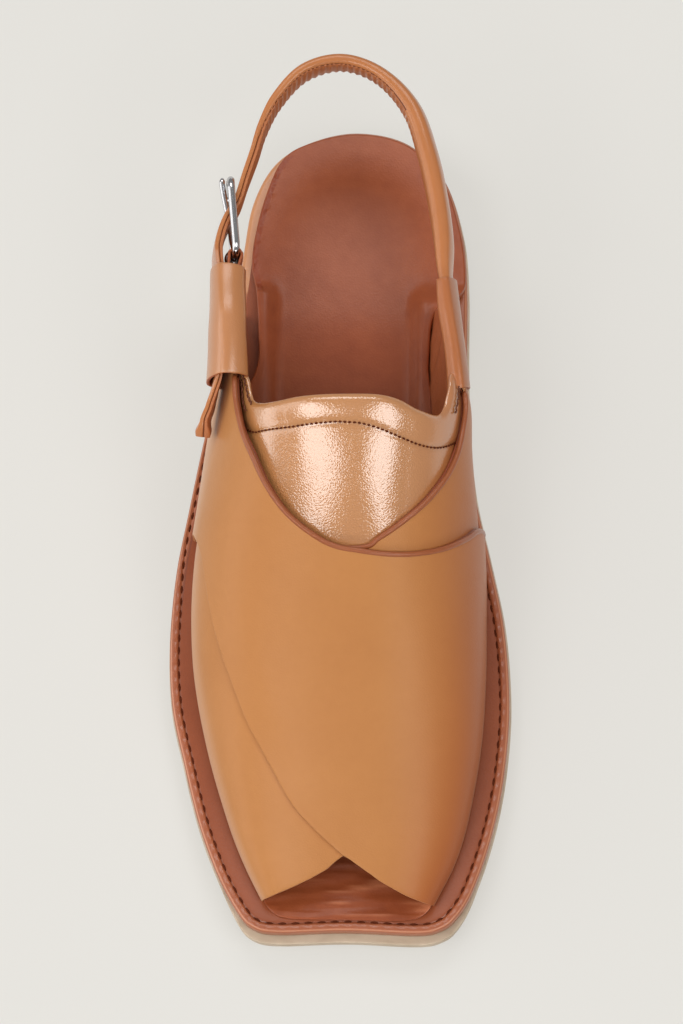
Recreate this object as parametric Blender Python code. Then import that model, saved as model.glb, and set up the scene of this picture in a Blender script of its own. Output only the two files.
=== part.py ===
"""A peshawari chappal, right shoe: crossed vamp panels, a square-toed leather sole and a buckled heel strap.

The shoe stands on its heel and tread at Z = 0, with the toe towards -Y and the big-toe side towards +X.
Every shape is worked out in millimetres in the shoemaker's own coordinates. On the sole these are x, across
the shoe, and s, the distance forward from the back of the heel. On the last they are s, the lift off the
last, and the girth a, which runs from -1 at the outer feather edge over the ridge at 0 to +1 at the inner.
"""

import math
from collections import namedtuple

import bmesh
import bpy
from mathutils import Matrix, Vector
from mathutils.geometry import delaunay_2d_cdt

MM = 0.001
GAP = 0.3  # between two pieces that meet

# ---------------------------------------------------------------------------- driving dimensions

LENGTH = 290.0
HEEL_LIFT = 12.0
HEEL_BREAST = 68.0
BREAST_HOLLOW = 3.0
ARCH_END = 165.0
TREAD_END = 215.0
TOE_SPRING = 7.0
TOE_LEDGE = 2.4  # how far the walking sole stands out in front of the stitched rim
LEDGE_START, LEDGE_RUN = 268.0, 18.0
OUTSOLE = 4.5
MIDSOLE = 5.5
INSOLE = 3.0
LEATHER = 2.0  # one vamp panel
TONGUE = 2.0
TONGUE_CLEAR = 0.6  # under the panels
FEATHER_RISE = 0.5  # of the last's feather edge over the middle sole

STRAP_WIDTH, STRAP_THICK = 16.0, 4.4
BILLET_WIDTH, BILLET_THICK = 13.0, 2.4
KEEPER_WALL = 1.2
ROD = 1.3  # radius of the buckle's rod
PRONG = 1.0  # radius
CHAPE = 1.1


# ---------------------------------------------------------------------------- helpers


def eased(t):
    """0 to 1 with flat ends."""
    t = min(1.0, max(0.0, t))
    return t * t * (3 - 2 * t)


def between(rows, field, s):
    """A column of a table at station s, along a smooth curve through its rows."""
    s = min(rows[-1].s, max(rows[0].s, s))
    i = max(k for k in range(len(rows) - 1) if rows[k].s <= s)

    def slope(k):
        lo, hi = rows[max(0, k - 1)], rows[min(len(rows) - 1, k + 1)]
        return (getattr(hi, field) - getattr(lo, field)) / (hi.s - lo.s)

    here, there = rows[i], rows[i + 1]
    span = there.s - here.s
    t = (s - here.s) / span
    p, q = getattr(here, field), getattr(there, field)
    m, n = slope(i) * span, slope(i + 1) * span
    start = (2 * t**3 - 3 * t**2 + 1) * p + (t**3 - 2 * t**2 + t) * m
    return start + (3 * t**2 - 2 * t**3) * q + (t**3 - t**2) * n


def through(points, steps, closed=False):
    """A smooth line through a few points, with that many steps from each one to the next."""
    points = [Vector(p) for p in points]
    count = len(points)
    line = []
    for i in range(count if closed else count - 1):
        near = [i + k for k in (-1, 0, 1, 2)]
        p0, p1, p2, p3 = [points[k % count if closed else min(count - 1, max(0, k))] for k in near]
        for k in range(steps):
            t = k / steps
            square, cube = 2 * p0 - 5 * p1 + 4 * p2 - p3, 3 * p1 - p0 - 3 * p2 + p3
            line.append(0.5 * (2 * p1 + (p2 - p0) * t + square * t**2 + cube * t**3))
    return line if closed else line + [points[-1]]


def inset(outline, by):
    """A closed outline moved inwards by that much. Outlines run from the heel up the outer side."""
    moved = []
    for i, p in enumerate(outline):
        along = (outline[(i + 1) % len(outline)] - outline[i - 1]).normalized()
        moved.append(p + by * Vector((along.y, -along.x)))
    return moved


def material(name, colour, roughness, metallic=0.0):
    made = bpy.data.materials.new(name)
    made.use_nodes = True
    shader = made.node_tree.nodes["Principled BSDF"]
    shader.inputs["Base Color"].default_value = (*colour, 1.0)
    shader.inputs["Roughness"].default_value = roughness
    shader.inputs["Metallic"].default_value = metallic
    made.diffuse_color = (*colour, 1.0)
    return made


def to_row(x, s, z):
    """Shoemaker's x, s and z in millimetres to metres; the toe is towards -Y."""
    return Vector((x, LENGTH / 2 - s, z)) * MM


def add(name, bm, finish, sharp=40.0):
    """Makes the piece an object of the scene, smooth where it is round."""
    bmesh.ops.recalc_face_normals(bm, faces=bm.faces)
    mesh = bpy.data.meshes.new(name)
    bm.to_mesh(mesh)
    bm.free()
    mesh.shade_smooth()
    mesh.set_sharp_from_angle(angle=math.radians(sharp))
    mesh.materials.append(finish)
    piece = bpy.data.objects.new(name, mesh)
    bpy.context.scene.collection.objects.link(piece)
    return piece


def loft(rings, caps=True):
    """A bmesh skin over rings of points in row metres; without caps the rings close on themselves."""
    bm = bmesh.new()
    made = [[bm.verts.new(p) for p in ring] for ring in rings]
    if caps:
        bm.faces.new(made[0])
        bm.faces.new(made[-1])
    pairs = zip(made, made[1:]) if caps else zip(made, made[1:] + made[:1])
    for low, high in pairs:
        for i in range(len(low)):
            j = (i + 1) % len(low)
            bm.faces.new((low[i], low[j], high[j], high[i]))
    return bm


def cut_away(piece, cutter):
    """Cuts a slot or hole; the cutter stays in the file as a guide that isn't rendered."""
    cutter.hide_render = True
    cutter.display_type = "WIRE"
    cut = piece.modifiers.new(cutter.name, "BOOLEAN")
    cut.operation = "DIFFERENCE"
    cut.solver = "EXACT"
    cut.object = cutter


# ---------------------------------------------------------------------------- the sole's form

# The sole's edge seen from above, as x and s: from the heel along the outer side, across the toe and back.
SOLE_EDGE = through(
    [
        (4, -1.2), (-13, 2.4), (-25.5, 10.9), (-33, 26), (-36, 45), (-38.7, 68), (-43.6, 92), (-49, 115),
        (-53.6, 138), (-57.5, 160), (-59, 185), (-57.6, 208), (-53, 228), (-47, 250), (-40, 268),
        (-32.8, 281), (-27.5, 286.6), (-19, 288.4), (4, 287.6), (28, 288.4), (36.2, 286.6), (41, 282.5),
        (46, 274), (51.5, 258), (55.8, 239), (58.2, 218), (58.4, 200), (56.4, 178), (51.6, 155), (46.6, 133),
        (44.2, 110), (43.6, 85), (43.5, 58), (41.6, 38), (35.2, 17.4), (22, 3.3),
    ],
    3,
    closed=True,
)


def underside(s):
    """Height of the outsole's lower face: the heel seat, the arch, the flat tread and the toe spring."""
    if s < ARCH_END:
        return HEEL_LIFT * eased((ARCH_END - s) / (ARCH_END - HEEL_BREAST))
    return TOE_SPRING * (max(0.0, s - TREAD_END) / (LENGTH - TREAD_END)) ** 2


def midsole_top(s):
    return underside(s) + OUTSOLE + GAP + MIDSOLE


def slab(name, outline, levels, finish, stations, rise=lambda x, s, z: z, lines=()):
    """A layer of the sole: a flat slab with the given (height, inset) levels, scored across at the stations
    and along at the lines, and then bent to the sole's profile by rise, which gives each point's height."""
    rings = [[Vector((p.x, p.y, z)) for p in inset(outline, by)] for z, by in levels]
    bm = loft(rings)
    bmesh.ops.recalc_face_normals(bm, faces=bm.faces)
    for normal, places in (((0, 1, 0), stations), ((1, 0, 0), lines)):
        for place in places:
            everything = bm.verts[:] + bm.edges[:] + bm.faces[:]
            at = Vector(normal) * place
            bmesh.ops.bisect_plane(bm, geom=everything, plane_co=at, plane_no=normal, dist=1e-4)
    for v in bm.verts:
        x, s, z = v.co
        v.co = to_row(x, s, rise(x, s, z))
    return add(name, bm, finish)


def bent(base):
    """The rise of a layer whose lower face lies at that height above the outsole's lower face."""
    return lambda x, s, z: underside(s) + base + z


SCORES = [76, 88, 100, 112, 124, 136, 148, 160, 215, 228, 240, 252, 264, 276]


# ---------------------------------------------------------------------------- the last

FIELDS = "s outer inner ridge_x ridge_z outer_square inner_square outer_swell inner_swell"
Section = namedtuple("Section", FIELDS)
LAST = [
    # outer and inner are the feather edges and ridge is the top line. Square tells how boxy a side is, and
    # swell is how far its wall stands out above the waist.
    Section(60, -31.0, 34.0, 7.5, 98.0, 3.30, 2.30, 0.6, 3.8),
    Section(75, -33.0, 34.8, 7.5, 96.0, 3.30, 2.30, 0.4, 4.2),
    Section(90, -36.6, 36.2, 7.5, 93.0, 3.80, 2.40, -4.0, 4.8),
    Section(115, -42.3, 40.4, 7.5, 88.0, 3.60, 2.60, -7.6, 5.2),
    Section(140, -46.2, 44.6, 7.5, 80.0, 2.75, 2.40, -4.0, 3.0),
    Section(160, -48.4, 46.4, 7.2, 71.0, 2.35, 2.35, 0.0, 0.8),
    Section(180, -49.2, 46.8, 6.2, 60.5, 2.40, 2.40, 0.0, 0.0),
    Section(200, -48.6, 46.5, 5.2, 50.5, 2.50, 2.50, 0.0, 0.0),
    Section(225, -45.0, 44.8, 4.5, 40.0, 2.60, 2.60, 0.0, 0.0),
    Section(250, -37.4, 40.8, 4.2, 31.5, 2.70, 2.70, 0.0, 0.0),
    Section(265, -30.5, 36.6, 4.0, 27.5, 2.80, 2.80, 0.0, 0.0),
    Section(282, -20.5, 29.8, 4.0, 24.0, 2.80, 2.80, 0.0, 0.0),
]


def last_form(s, a):
    """A point of the last's surface, in x, s and z."""
    side = "inner" if a > 0 else "outer"
    angle = math.radians(90) * (1 - min(1.0, abs(a)))
    power = 2 / between(LAST, side + "_square", s)
    ridge_x, ridge_z = between(LAST, "ridge_x", s), between(LAST, "ridge_z", s)
    floor = midsole_top(s) + FEATHER_RISE
    x = ridge_x + (between(LAST, side, s) - ridge_x) * math.cos(angle) ** power
    x += between(LAST, side + "_swell", s) * math.sin(2 * angle) * (1 if a > 0 else -1)
    z = floor + (ridge_z - floor) * math.sin(angle) ** power
    return Vector((x, s, z))


def on_last(s, a, lift):
    """A point that far off the last, along its normal."""
    step = 0.01  # of girth
    inside = max(-1 + step, min(1 - step, a))
    round_it = last_form(s, inside + step) - last_form(s, inside - step)
    along_it = last_form(s + 1, inside) - last_form(s - 1, inside)
    if abs(a) > 1 - step:
        along_it.z = 0
        round_it = Vector((0, 0, -1 if a > 0 else 1))
    return last_form(s, a) + lift * round_it.cross(along_it).normalized()


def girth_scale(s, a):
    """Millimetres along the last for a unit of girth."""
    step = 0.02
    return (last_form(s, a + step) - last_form(s, a - step)).length / (2 * step)


# ---------------------------------------------------------------------------- sole, heel and insole

BEIGE = material("natural_edge_leather", (0.52, 0.42, 0.30), 0.6)
BROWN = material("brown_sock_leather", (0.28, 0.09, 0.04), 0.45)
TAN = material("tan_vamp_leather", (0.58, 0.26, 0.09), 0.4)
NICKEL = material("nickel", (0.75, 0.75, 0.76), 0.2, 1.0)


# Edge profiles of the layers, as height above the layer's lower face and inset from its outline.
OUTSOLE_PROFILE = [(0.0, 0.2), (1.0, -0.7), (OUTSOLE, -0.4)]
HEEL_PROFILE = [(0.0, 1.2), (1.0, 0.7), (HEEL_LIFT - GAP, 0.3)]
MIDSOLE_PROFILE = [(0.0, 0.0), (MIDSOLE - 1.6, 0.0), (MIDSOLE - 0.5, 0.5), (MIDSOLE, 1.6)]
INSOLE_PROFILE = [(0.0, 0.0), (INSOLE - 0.6, 0.0), (INSOLE, 0.8)]


def make_outsole():
    """The walking sole, which stands out a little in front of the stitched rim."""
    outline = [Vector((p.x, p.y + TOE_LEDGE * eased((p.y - LEDGE_START) / LEDGE_RUN))) for p in SOLE_EDGE]
    return slab("outsole", outline, OUTSOLE_PROFILE, BEIGE, SCORES, bent(0.0))


def make_heel():
    """The heel block under the seat, with a slightly hollow breast."""
    middle = SOLE_EDGE[0].x
    seat = [p for p in SOLE_EDGE if p.y < HEEL_BREAST - 4]
    outer = sorted((p for p in seat if p.x < middle), key=lambda p: p.y)
    inner = sorted((p for p in seat if p.x >= middle), key=lambda p: -p.y)
    hollow = HEEL_BREAST - BREAST_HOLLOW
    breast = [Vector(p) for p in ((-38, HEEL_BREAST), (-16, hollow), (22, hollow), (43, HEEL_BREAST))]
    return slab("heel_block", outer + breast + inner, HEEL_PROFILE, BEIGE, [])


def make_midsole():
    """The stitched middle sole, whose rounded rim shows all round the shoe."""
    return slab("midsole", SOLE_EDGE, MIDSOLE_PROFILE, BROWN, SCORES, bent(OUTSOLE + GAP))


INSOLE_CLEAR = 1.0
SKIVE_START, SKIVE_END, SKIVE = 268.0, 284.0, 0.6  # the toe end thins by that share
LIP = 3.0
LIP_LINES = (-28, -24, 25, 29)  # x of the scores that carry the lip
TIP_OUTER, TIP_INNER = 277.5, 278.2
OUTER_SWAP, INNER_SWAP = 146.0, 151.0  # where the under panel's feather edge starts and ends


def insole_outline():
    """Inside the panels it follows them. Behind them it reaches the sole's edge on the inner side, and leaves
    a ledge on the outer side."""
    beyond = 12  # past the swap, where only the over panel stands beside it

    def outer(s):
        panel = LEATHER if s < OUTER_SWAP - beyond else 0.0
        return between(LAST, "outer", s) - panel + INSOLE_CLEAR

    def inner(s):
        panel = LEATHER if s > INNER_SWAP + beyond else 0.0
        return between(LAST, "inner", s) + panel - INSOLE_CLEAR

    points = [(4, 0.8), (-12.6, 4.2), (-24, 12.6), (-30.3, 27), (-32.8, 45), (-32.4, 62)]
    points += [(outer(s), s) for s in range(76, 277, 20)]
    points += [(-20.5, 281), (-15, 284), (4, 284.3), (24, 284.5), (30, 281.5)]
    points += [(inner(s), s) for s in range(276, 70, -20)]
    points += [(35.2, 67), (41.6, 62.5), (42.9, 54), (40.8, 38), (34.5, 18.6), (21.6, 5.2)]
    return through(points, 3, closed=True)


def lip(x, s):
    """The insole's edge turns up at both sides of the waist, within these stations."""
    starts, ends, middle, flat_half = 58, 150, 0.5, 23
    along = eased((s - starts) / 14) * eased((ends - s) / 30)
    return LIP * along * eased((abs(x - middle) - flat_half) / 7)


def make_insole():
    def rise(x, s, z):
        skived = 1 - SKIVE * eased((s - SKIVE_START) / (SKIVE_END - SKIVE_START))
        top = z * skived + (lip(x, s) if z > INSOLE / 2 else 0)
        return midsole_top(s) + GAP + top

    return slab("insole", insole_outline(), INSOLE_PROFILE, BROWN, [64, 70] + SCORES, rise, LIP_LINES)


# ---------------------------------------------------------------------------- upper: two crossed panels

GIRTH = 80.0  # one unit of girth laid flat, about its length on the last
GRAIN = 8.0  # spacing of the points that carry a panel's curvature
ROW_SHARE = 0.87  # of the spacing, from one row of points to the next
CLEAR_SHARE = 0.45  # of the spacing, that the points keep from an outline

# Edges of the panels as s and a. The over panel starts at the inner forefoot and crosses to the outer ear,
# and the under panel starts at the outer forefoot and crosses beneath it to the inner ear.
OVER_PANEL = [
    [(70, -1), (110, -1), (150, -1)],
    [(150, -1), (154, -0.84), (163, -0.685), (179, -0.606), (194, -0.541), (208, -0.472), (221, -0.407),
     (232, -0.329), (244, -0.222), (255.7, -0.10), (264.5, 0)],
    [(264.5, 0), (268.1, 0.08), (271.8, 0.227), (275.3, 0.457), (277.6, 0.803), (TIP_INNER, 1)],
    [(TIP_INNER, 1), (214, 1), (149, 1)],
    [(149, 1), (154, 0.767), (160, 0.617), (166, 0.438), (169.2, 0.272), (170, 0.134), (169.3, 0.029),
     (168.0, -0.04), (164.7, -0.108), (158.5, -0.198), (149.1, -0.293), (138, -0.394), (127, -0.499),
     (116, -0.59), (109, -0.63)],
    [(109, -0.63), (92, -0.635), (79, -0.645)],
    [(79, -0.645), (79, -0.80)],
    [(79, -0.80), (92, -0.785), (109, -0.772)],
    [(109, -0.772), (108.5, -0.85), (94, -0.92), (80, -0.97), (70, -1)],
]
UNDER_PANEL = [
    [(72, 1), (110, 1), (INNER_SWAP, 1)],
    [(INNER_SWAP, 1), (155, 0.93), (172, 0.74), (205, 0.57), (229, 0.45), (246, 0.335), (257, 0.19),
     (264.5, 0)],
    [(264.5, 0), (268.3, -0.07), (271.8, -0.204), (275.1, -0.412), (277, -0.782), (TIP_OUTER, -1)],
    [(TIP_OUTER, -1), (212, -1), (OUTER_SWAP, -1)],
    [(OUTER_SWAP, -1), (151, -0.8), (160, -0.565), (166.5, -0.36), (168.6, -0.15), (168.6, 0.037),
     (165.7, 0.103), (160.8, 0.204), (152.9, 0.339), (141.7, 0.479), (131, 0.575), (121, 0.625),
     (113, 0.625)],
    [(113, 0.625), (96, 0.59), (80, 0.56)],
    [(80, 0.56), (80, 0.73)],
    [(80, 0.73), (96, 0.75), (112.5, 0.77)],
    [(112.5, 0.77), (110, 0.85), (98, 0.925), (84, 0.975), (72, 1)],
]


def flat_edge(stretches, spacing):
    """A panel's outline laid flat, as points about that far apart, with its corners kept."""
    outline = []
    for stretch in stretches:
        line = through([Vector((s, a * GIRTH)) for s, a in stretch], 12)
        whole = sum((q - p).length for p, q in zip(line, line[1:]))
        count = max(1, round(whole / spacing))
        walked, mark = 0.0, 0
        for p, q in zip(line, line[1:]):
            step = (q - p).length
            while mark < count and walked + step >= mark * whole / count:
                outline.append(p.lerp(q, (mark * whole / count - walked) / step))
                mark += 1
            walked += step
    return outline


def far_from(point, outlines, least):
    for outline in outlines:
        for p, q in zip(outline, outline[1:] + outline[:1]):
            t = max(0.0, min(1.0, (point - p).dot(q - p) / (q - p).length_squared))
            if (point - p.lerp(q, t)).length < least:
                return False
    return True


def cut_patterns(outlines, spacing):
    """The outlines laid on each other and cut into triangles. Gives points, triangles and, for each
    triangle, the set of outlines that it lies in."""
    points, borders = [], []
    for outline in outlines:
        borders.append(list(range(len(points), len(points) + len(outline))))
        points += outline
    low_s, high_s = min(p.x for p in points), max(p.x for p in points)
    row, g = 0, -GIRTH
    while g < GIRTH:
        s = low_s + spacing * (0.5 if row % 2 else 0.0)
        while s < high_s:
            if far_from(Vector((s, g)), outlines, spacing * CLEAR_SHARE):
                points.append(Vector((s, g)))
            s += spacing
        row, g = row + 1, g + spacing * ROW_SHARE
    inside_outlines, merge = 1, 1e-4
    cut, _, triangles, _, _, origins = delaunay_2d_cdt(points, [], borders, inside_outlines, merge)
    return cut, triangles, [set(o) for o in origins]


def make_upper():
    """Both panels as one solid, joined where they lie on each other: the under panel on the last, the over
    one outside it. Layer 0 is the under panel's leather and layer 1 the over panel's."""
    outlines = [flat_edge(UNDER_PANEL, GRAIN)[::-1], flat_edge(OVER_PANEL, GRAIN)]
    cut, triangles, origins = cut_patterns(outlines, GRAIN)
    bm = bmesh.new()
    made = {}

    def corner(i, level):
        if (i, level) not in made:
            point = on_last(cut[i].x, cut[i].y / GIRTH, level * LEATHER)
            made[i, level] = bm.verts.new(to_row(*point))
        return made[i, level]

    for layer in (0, 1):
        sides = {}
        for triangle, lies_in in zip(triangles, origins):
            if layer not in lies_in:
                continue
            for level in (layer, layer + 1):
                if 1 - layer not in lies_in or level != 1:
                    bm.faces.new([corner(i, level) for i in triangle])
            for i, j in zip(triangle, list(triangle[1:]) + [triangle[0]]):
                key = (min(i, j), max(i, j))
                sides[key] = sides.get(key, 0) + 1
        for (i, j), uses in sides.items():
            if uses == 1:
                bm.faces.new([corner(i, layer), corner(j, layer), corner(j, layer + 1), corner(i, layer + 1)])
    return add("upper", bm, TAN, 50)


# ---------------------------------------------------------------------------- tongue

TONGUE_EDGE = [
    [(190, -0.42), (190, 0), (190, 0.42)],
    [(190, 0.42), (160, 0.60), (134, 0.71), (112, 0.755), (101, 0.75)],
    [(101, 0.75), (101, 0.61)],
    [(101, 0.61), (110, 0.612), (118, 0.57), (122.6, 0.465), (123.9, 0.365), (122.7, 0.25), (121.9, 0.15),
     (121.4, 0.02), (121.6, -0.11), (121.7, -0.29), (121, -0.444), (118, -0.565), (108, -0.63), (98, -0.64)],
    [(98, -0.64), (98, -0.765)],
    [(98, -0.765), (112, -0.765), (134, -0.7), (160, -0.56), (190, -0.42)],
]


def make_tongue():
    """The instep piece under the crossed panels, with a scalloped top edge between the ears."""
    cut, triangles, _ = cut_patterns([flat_edge(TONGUE_EDGE, GRAIN)], GRAIN)
    bm = bmesh.new()
    verts = [bm.verts.new((p.x, p.y, 0)) for p in cut]
    for triangle in triangles:
        bm.faces.new([verts[i] for i in triangle])
    skin = bmesh.ops.extrude_face_region(bm, geom=bm.faces[:])["geom"]
    raised = {v for v in skin if isinstance(v, bmesh.types.BMVert)}
    for v in bm.verts:
        lift = -TONGUE_CLEAR if v in raised else -TONGUE_CLEAR - TONGUE
        v.co = to_row(*on_last(v.co.x, v.co.y / GIRTH, lift))
    return add("tongue", bm, TAN, 50)


# ---------------------------------------------------------------------------- keepers on the two ears

Keeper = namedtuple("Keeper", "s a low high half_width")
# a is the girth at the ear's middle, and low and high are the lifts that the keeper encloses.
OUTER_KEEPER = [
    Keeper(71.5, -0.727, 1.6, 12.1, 8.9),
    Keeper(80.0, -0.718, 1.6, 10.9, 8.9),
    Keeper(92.0, -0.710, -2.9, 10.9, 8.7),
    Keeper(107.5, -0.703, -2.9, 11.9, 9.5),
]
INNER_KEEPER = [
    Keeper(75.0, 0.640, -0.4, 5.4, 9.1),
    Keeper(84.0, 0.650, -0.4, 4.9, 9.0),
    Keeper(95.0, 0.664, -2.9, 4.7, 8.9),
    Keeper(111.0, 0.685, -2.9, 2.6, 8.9),
]


def along_ear(rows, s, up, lift):
    """A point by a keeper: up is the distance towards the ridge from the ear's middle line."""
    a = between(rows, "a", s)
    a -= up / girth_scale(s, a) * (1 if a > 0 else -1)
    return on_last(s, a, lift)


def make_keeper(name, rows):
    """A leather sleeve round the ear, open at both ends."""
    round_off = 1.5

    def ring_point(turn, s, wall):
        """A rectangle with round corners, and a wall round it."""
        low, high = between(rows, "low", s), between(rows, "high", s)
        c, n = math.cos(turn), math.sin(turn)
        flat_up = between(rows, "half_width", s) - round_off
        flat_lift = (high - low) / 2 - round_off
        up = math.copysign(flat_up, n) + (round_off + wall) * n
        lift = (high + low) / 2 + math.copysign(flat_lift, c) + (round_off + wall) * c
        return to_row(*along_ear(rows, s, up, lift))

    mouth, front, waist, back = [row.s for row in rows]
    stations = [mouth, front, (front + waist) / 2, waist, (waist + back) / 2, back]
    turns = [math.radians(90 * corner + turn) for corner in range(4) for turn in (3, 24, 45, 66, 87)]
    rings = []
    for turn in turns:
        outside = [ring_point(turn, s, KEEPER_WALL) for s in stations]
        inside = [ring_point(turn, s, 0.0) for s in reversed(stations)]
        rings.append(outside + inside)
    return add(name, loft(rings, caps=False), TAN, 50)


# ---------------------------------------------------------------------------- buckle

BUCKLE_FRONT = Vector((-36.3, 66.0, 66.6))  # middle of the bar that the chape holds, in x, s and z
BUCKLE_BACK = Vector((-38.6, 39.6, 68.6))
BUCKLE_LEAN = 12.0
BUCKLE_HALF_HEIGHT = 9.0
BUCKLE_CORNER = 3.5
BUCKLE_BULGE = 1.6  # of the back bar, over the strap
CHAPE_LIFTS = (5.1, 6.5)
CHAPE_LEG = (98, 89, 80)  # stations of the leg in the keeper
CHAPE_HALF_WIDTH = 6.2
# How the prong runs to the back bar: share of the frame's length, and rise over the front bar's middle.
PRONG_RISE = [(0.25, 0.9), (0.5, 1.8), (0.75, 3.1), (1.0, 4.2), (1.1, 4.2)]


def buckle_frame_axes():
    """Unit vectors in x, s and z: towards the back bar, up, and out of the shoe."""
    back = (BUCKLE_BACK - BUCKLE_FRONT).normalized()
    lean = math.radians(BUCKLE_LEAN)
    up = Vector((math.sin(lean), 0, math.cos(lean)))
    up = (up - back * up.dot(back)).normalized()
    out = back.cross(up)
    return back, up, out if out.x < 0 else -out


def make_buckle_frame():
    """A bent rod: a rectangle with round corners, whose back bar stands out over the strap."""
    back, up, out = buckle_frame_axes()
    middle = (BUCKLE_FRONT + BUCKLE_BACK) / 2
    half_length = (BUCKLE_BACK - BUCKLE_FRONT).length / 2
    corner = BUCKLE_CORNER
    points = []
    for quarter in range(4):
        sx, sy = ((1, 1), (-1, 1), (-1, -1), (1, -1))[quarter]
        for k in range(6):
            turn = math.radians(90 * quarter + 18 * k)
            u = sx * (half_length - corner) + corner * math.cos(turn)
            v = sy * (BUCKLE_HALF_HEIGHT - corner) + corner * math.sin(turn)
            points.append(middle + back * u + up * v + out * BUCKLE_BULGE * eased((u + 2) / half_length))
    return rod("buckle_frame", points, ROD, True)


def rod(name, points, radius, closed=False):
    curve = bpy.data.curves.new(name, "CURVE")
    curve.dimensions = "3D"
    curve.bevel_depth = radius * MM
    curve.bevel_resolution = 2
    curve.use_fill_caps = True
    spline = curve.splines.new("POLY")
    spline.points.add(len(points) - 1)
    for point, place in zip(spline.points, points):
        point.co = (*to_row(*place), 1)
    spline.use_cyclic_u = closed
    curve.materials.append(NICKEL)
    piece = bpy.data.objects.new(name, curve)
    bpy.context.scene.collection.objects.link(piece)
    return piece


def make_buckle_prong():
    """It hooks round the front bar, passes through the strap and rests its tip on the back bar."""
    back, _, out = buckle_frame_axes()
    span = (BUCKLE_BACK - BUCKLE_FRONT).length
    hook = ROD + GAP + PRONG
    points = []
    for k in range(9):
        turn = math.radians(205 - 25 * k)
        points.append(BUCKLE_FRONT + back * (hook * math.cos(turn)) + out * (hook * math.sin(turn)))
    points += [BUCKLE_FRONT + back * (span * share) + out * rise for share, rise in PRONG_RISE]
    return rod("buckle_prong", points, PRONG)


def box_guide(name, centre, size):
    """A box along the buckle's axes, to cut with: its length back, height and depth."""
    back, up, out = buckle_frame_axes()
    bm = bmesh.new()
    bmesh.ops.create_cube(bm, size=1.0)
    turn = Matrix((back, up, out)).transposed().to_4x4()
    bm.transform(Matrix.Translation(centre) @ turn @ Matrix.Diagonal((*size, 1.0)))
    for v in bm.verts:
        v.co = to_row(*v.co)
    return add(name, bm, TAN)


SLOT_WIDTH = 2 * (PRONG + GAP) + 0.4


def make_buckle_chape():
    """A strip folded round the front bar, with both ends in the outer keeper and a slot for the prong."""
    back, up, out = buckle_frame_axes()
    loop = ROD + GAP + CHAPE / 2
    fold = []
    for k in range(9):
        turn = math.radians(-100 + 25 * k)
        fold.append((loop * math.cos(turn), loop * math.sin(turn)))

    def wall(side):
        """Points of the strip's edge at one height, along one leg, round the fold and back."""
        under, over = CHAPE_LIFTS
        line = [along_ear(OUTER_KEEPER, s, side, under) for s in CHAPE_LEG]
        line += [BUCKLE_FRONT + up * side + back * u + out * v for u, v in fold]
        line += [along_ear(OUTER_KEEPER, s, side, over) for s in reversed(CHAPE_LEG)]
        return line

    low, high = wall(-CHAPE_HALF_WIDTH), wall(CHAPE_HALF_WIDTH)
    rings = []
    for i, (p, q) in enumerate(zip(low, high)):
        ahead = (low[min(i + 1, len(low) - 1)] - low[max(i - 1, 0)]).normalized()
        across = (q - p).normalized()
        thick = ahead.cross(across).normalized() * (CHAPE / 2)
        rings.append([to_row(*c) for c in (p - thick, p + thick, q + thick, q - thick)])
    piece = add("buckle_chape", loft(rings), TAN, 50)
    cut_away(piece, box_guide("prong_slot_guide", BUCKLE_FRONT + back, (9.5, SLOT_WIDTH, 12.0)))
    return piece


# ---------------------------------------------------------------------------- heel strap

Strap = namedtuple("Strap", "x s z lean width thick")
# Middle line of the strap behind the ears, from the inner side round the heel to the buckle; lean is the
# inward lean of its upper edge in degrees. The padded part ends on the outer side, and a bare billet goes on.
HEEL_STRAP = [
    Strap(37.6, 70, 66.0, 10, STRAP_WIDTH - 3, 2.2),
    Strap(36.8, 60, 67.0, 13, STRAP_WIDTH, 4.0),
    Strap(34.6, 46, 68.6, 14, STRAP_WIDTH, STRAP_THICK),
    Strap(30.7, 30, 70.4, 14, STRAP_WIDTH, STRAP_THICK),
    Strap(23.6, 14.0, 71.8, 12, STRAP_WIDTH, STRAP_THICK),
    Strap(13.2, 2.6, 72.6, 10, STRAP_WIDTH, STRAP_THICK),
    Strap(1.0, -2.4, 73.0, 8, STRAP_WIDTH, STRAP_THICK),
    Strap(-11.5, 1.4, 72.8, 7, STRAP_WIDTH, STRAP_THICK),
    Strap(-20.2, 10.0, 72.2, 7, STRAP_WIDTH, STRAP_THICK),
    Strap(-26.2, 20.6, 71.4, 6, BILLET_WIDTH + 1, 3.2),
    Strap(-30.2, 30.0, 70.8, 6, BILLET_WIDTH, BILLET_THICK),
    Strap(-33.0, 39.0, 69.6, 8, BILLET_WIDTH, BILLET_THICK),
    Strap(-35.1, 47.0, 68.7, 10, BILLET_WIDTH, BILLET_THICK),
    Strap(-38.8, 53.0, 68.0, 11, BILLET_WIDTH, BILLET_THICK),
    Strap(-41.2, 58.5, 67.4, 11, BILLET_WIDTH, BILLET_THICK),
    Strap(-41.65, 65.5, 66.6, 11, BILLET_WIDTH, BILLET_THICK),
]
BILLET_TIP = [
    Strap(-42.0, 112.5, 60.4, 12, BILLET_WIDTH, BILLET_THICK),
    Strap(-45.6, 119.0, 57.8, 8, BILLET_WIDTH - 1, BILLET_THICK),
    Strap(-48.2, 124.5, 55.8, 6, BILLET_WIDTH - 7, BILLET_THICK),
]
BILLET_LIFT = 8.7
BILLET_HELD = (76, 86, 96, 105.5)  # stations in the outer keeper
INNER_END_LIFT = 3.1
INNER_END_THICK = 1.6
INNER_END_HELD = (94, 88, 82)  # stations in the inner keeper
HEEL_CENTRE, BALL_CENTRE = (3.8, 50), (3.8, 110)  # x and s that the strap leans towards


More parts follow.
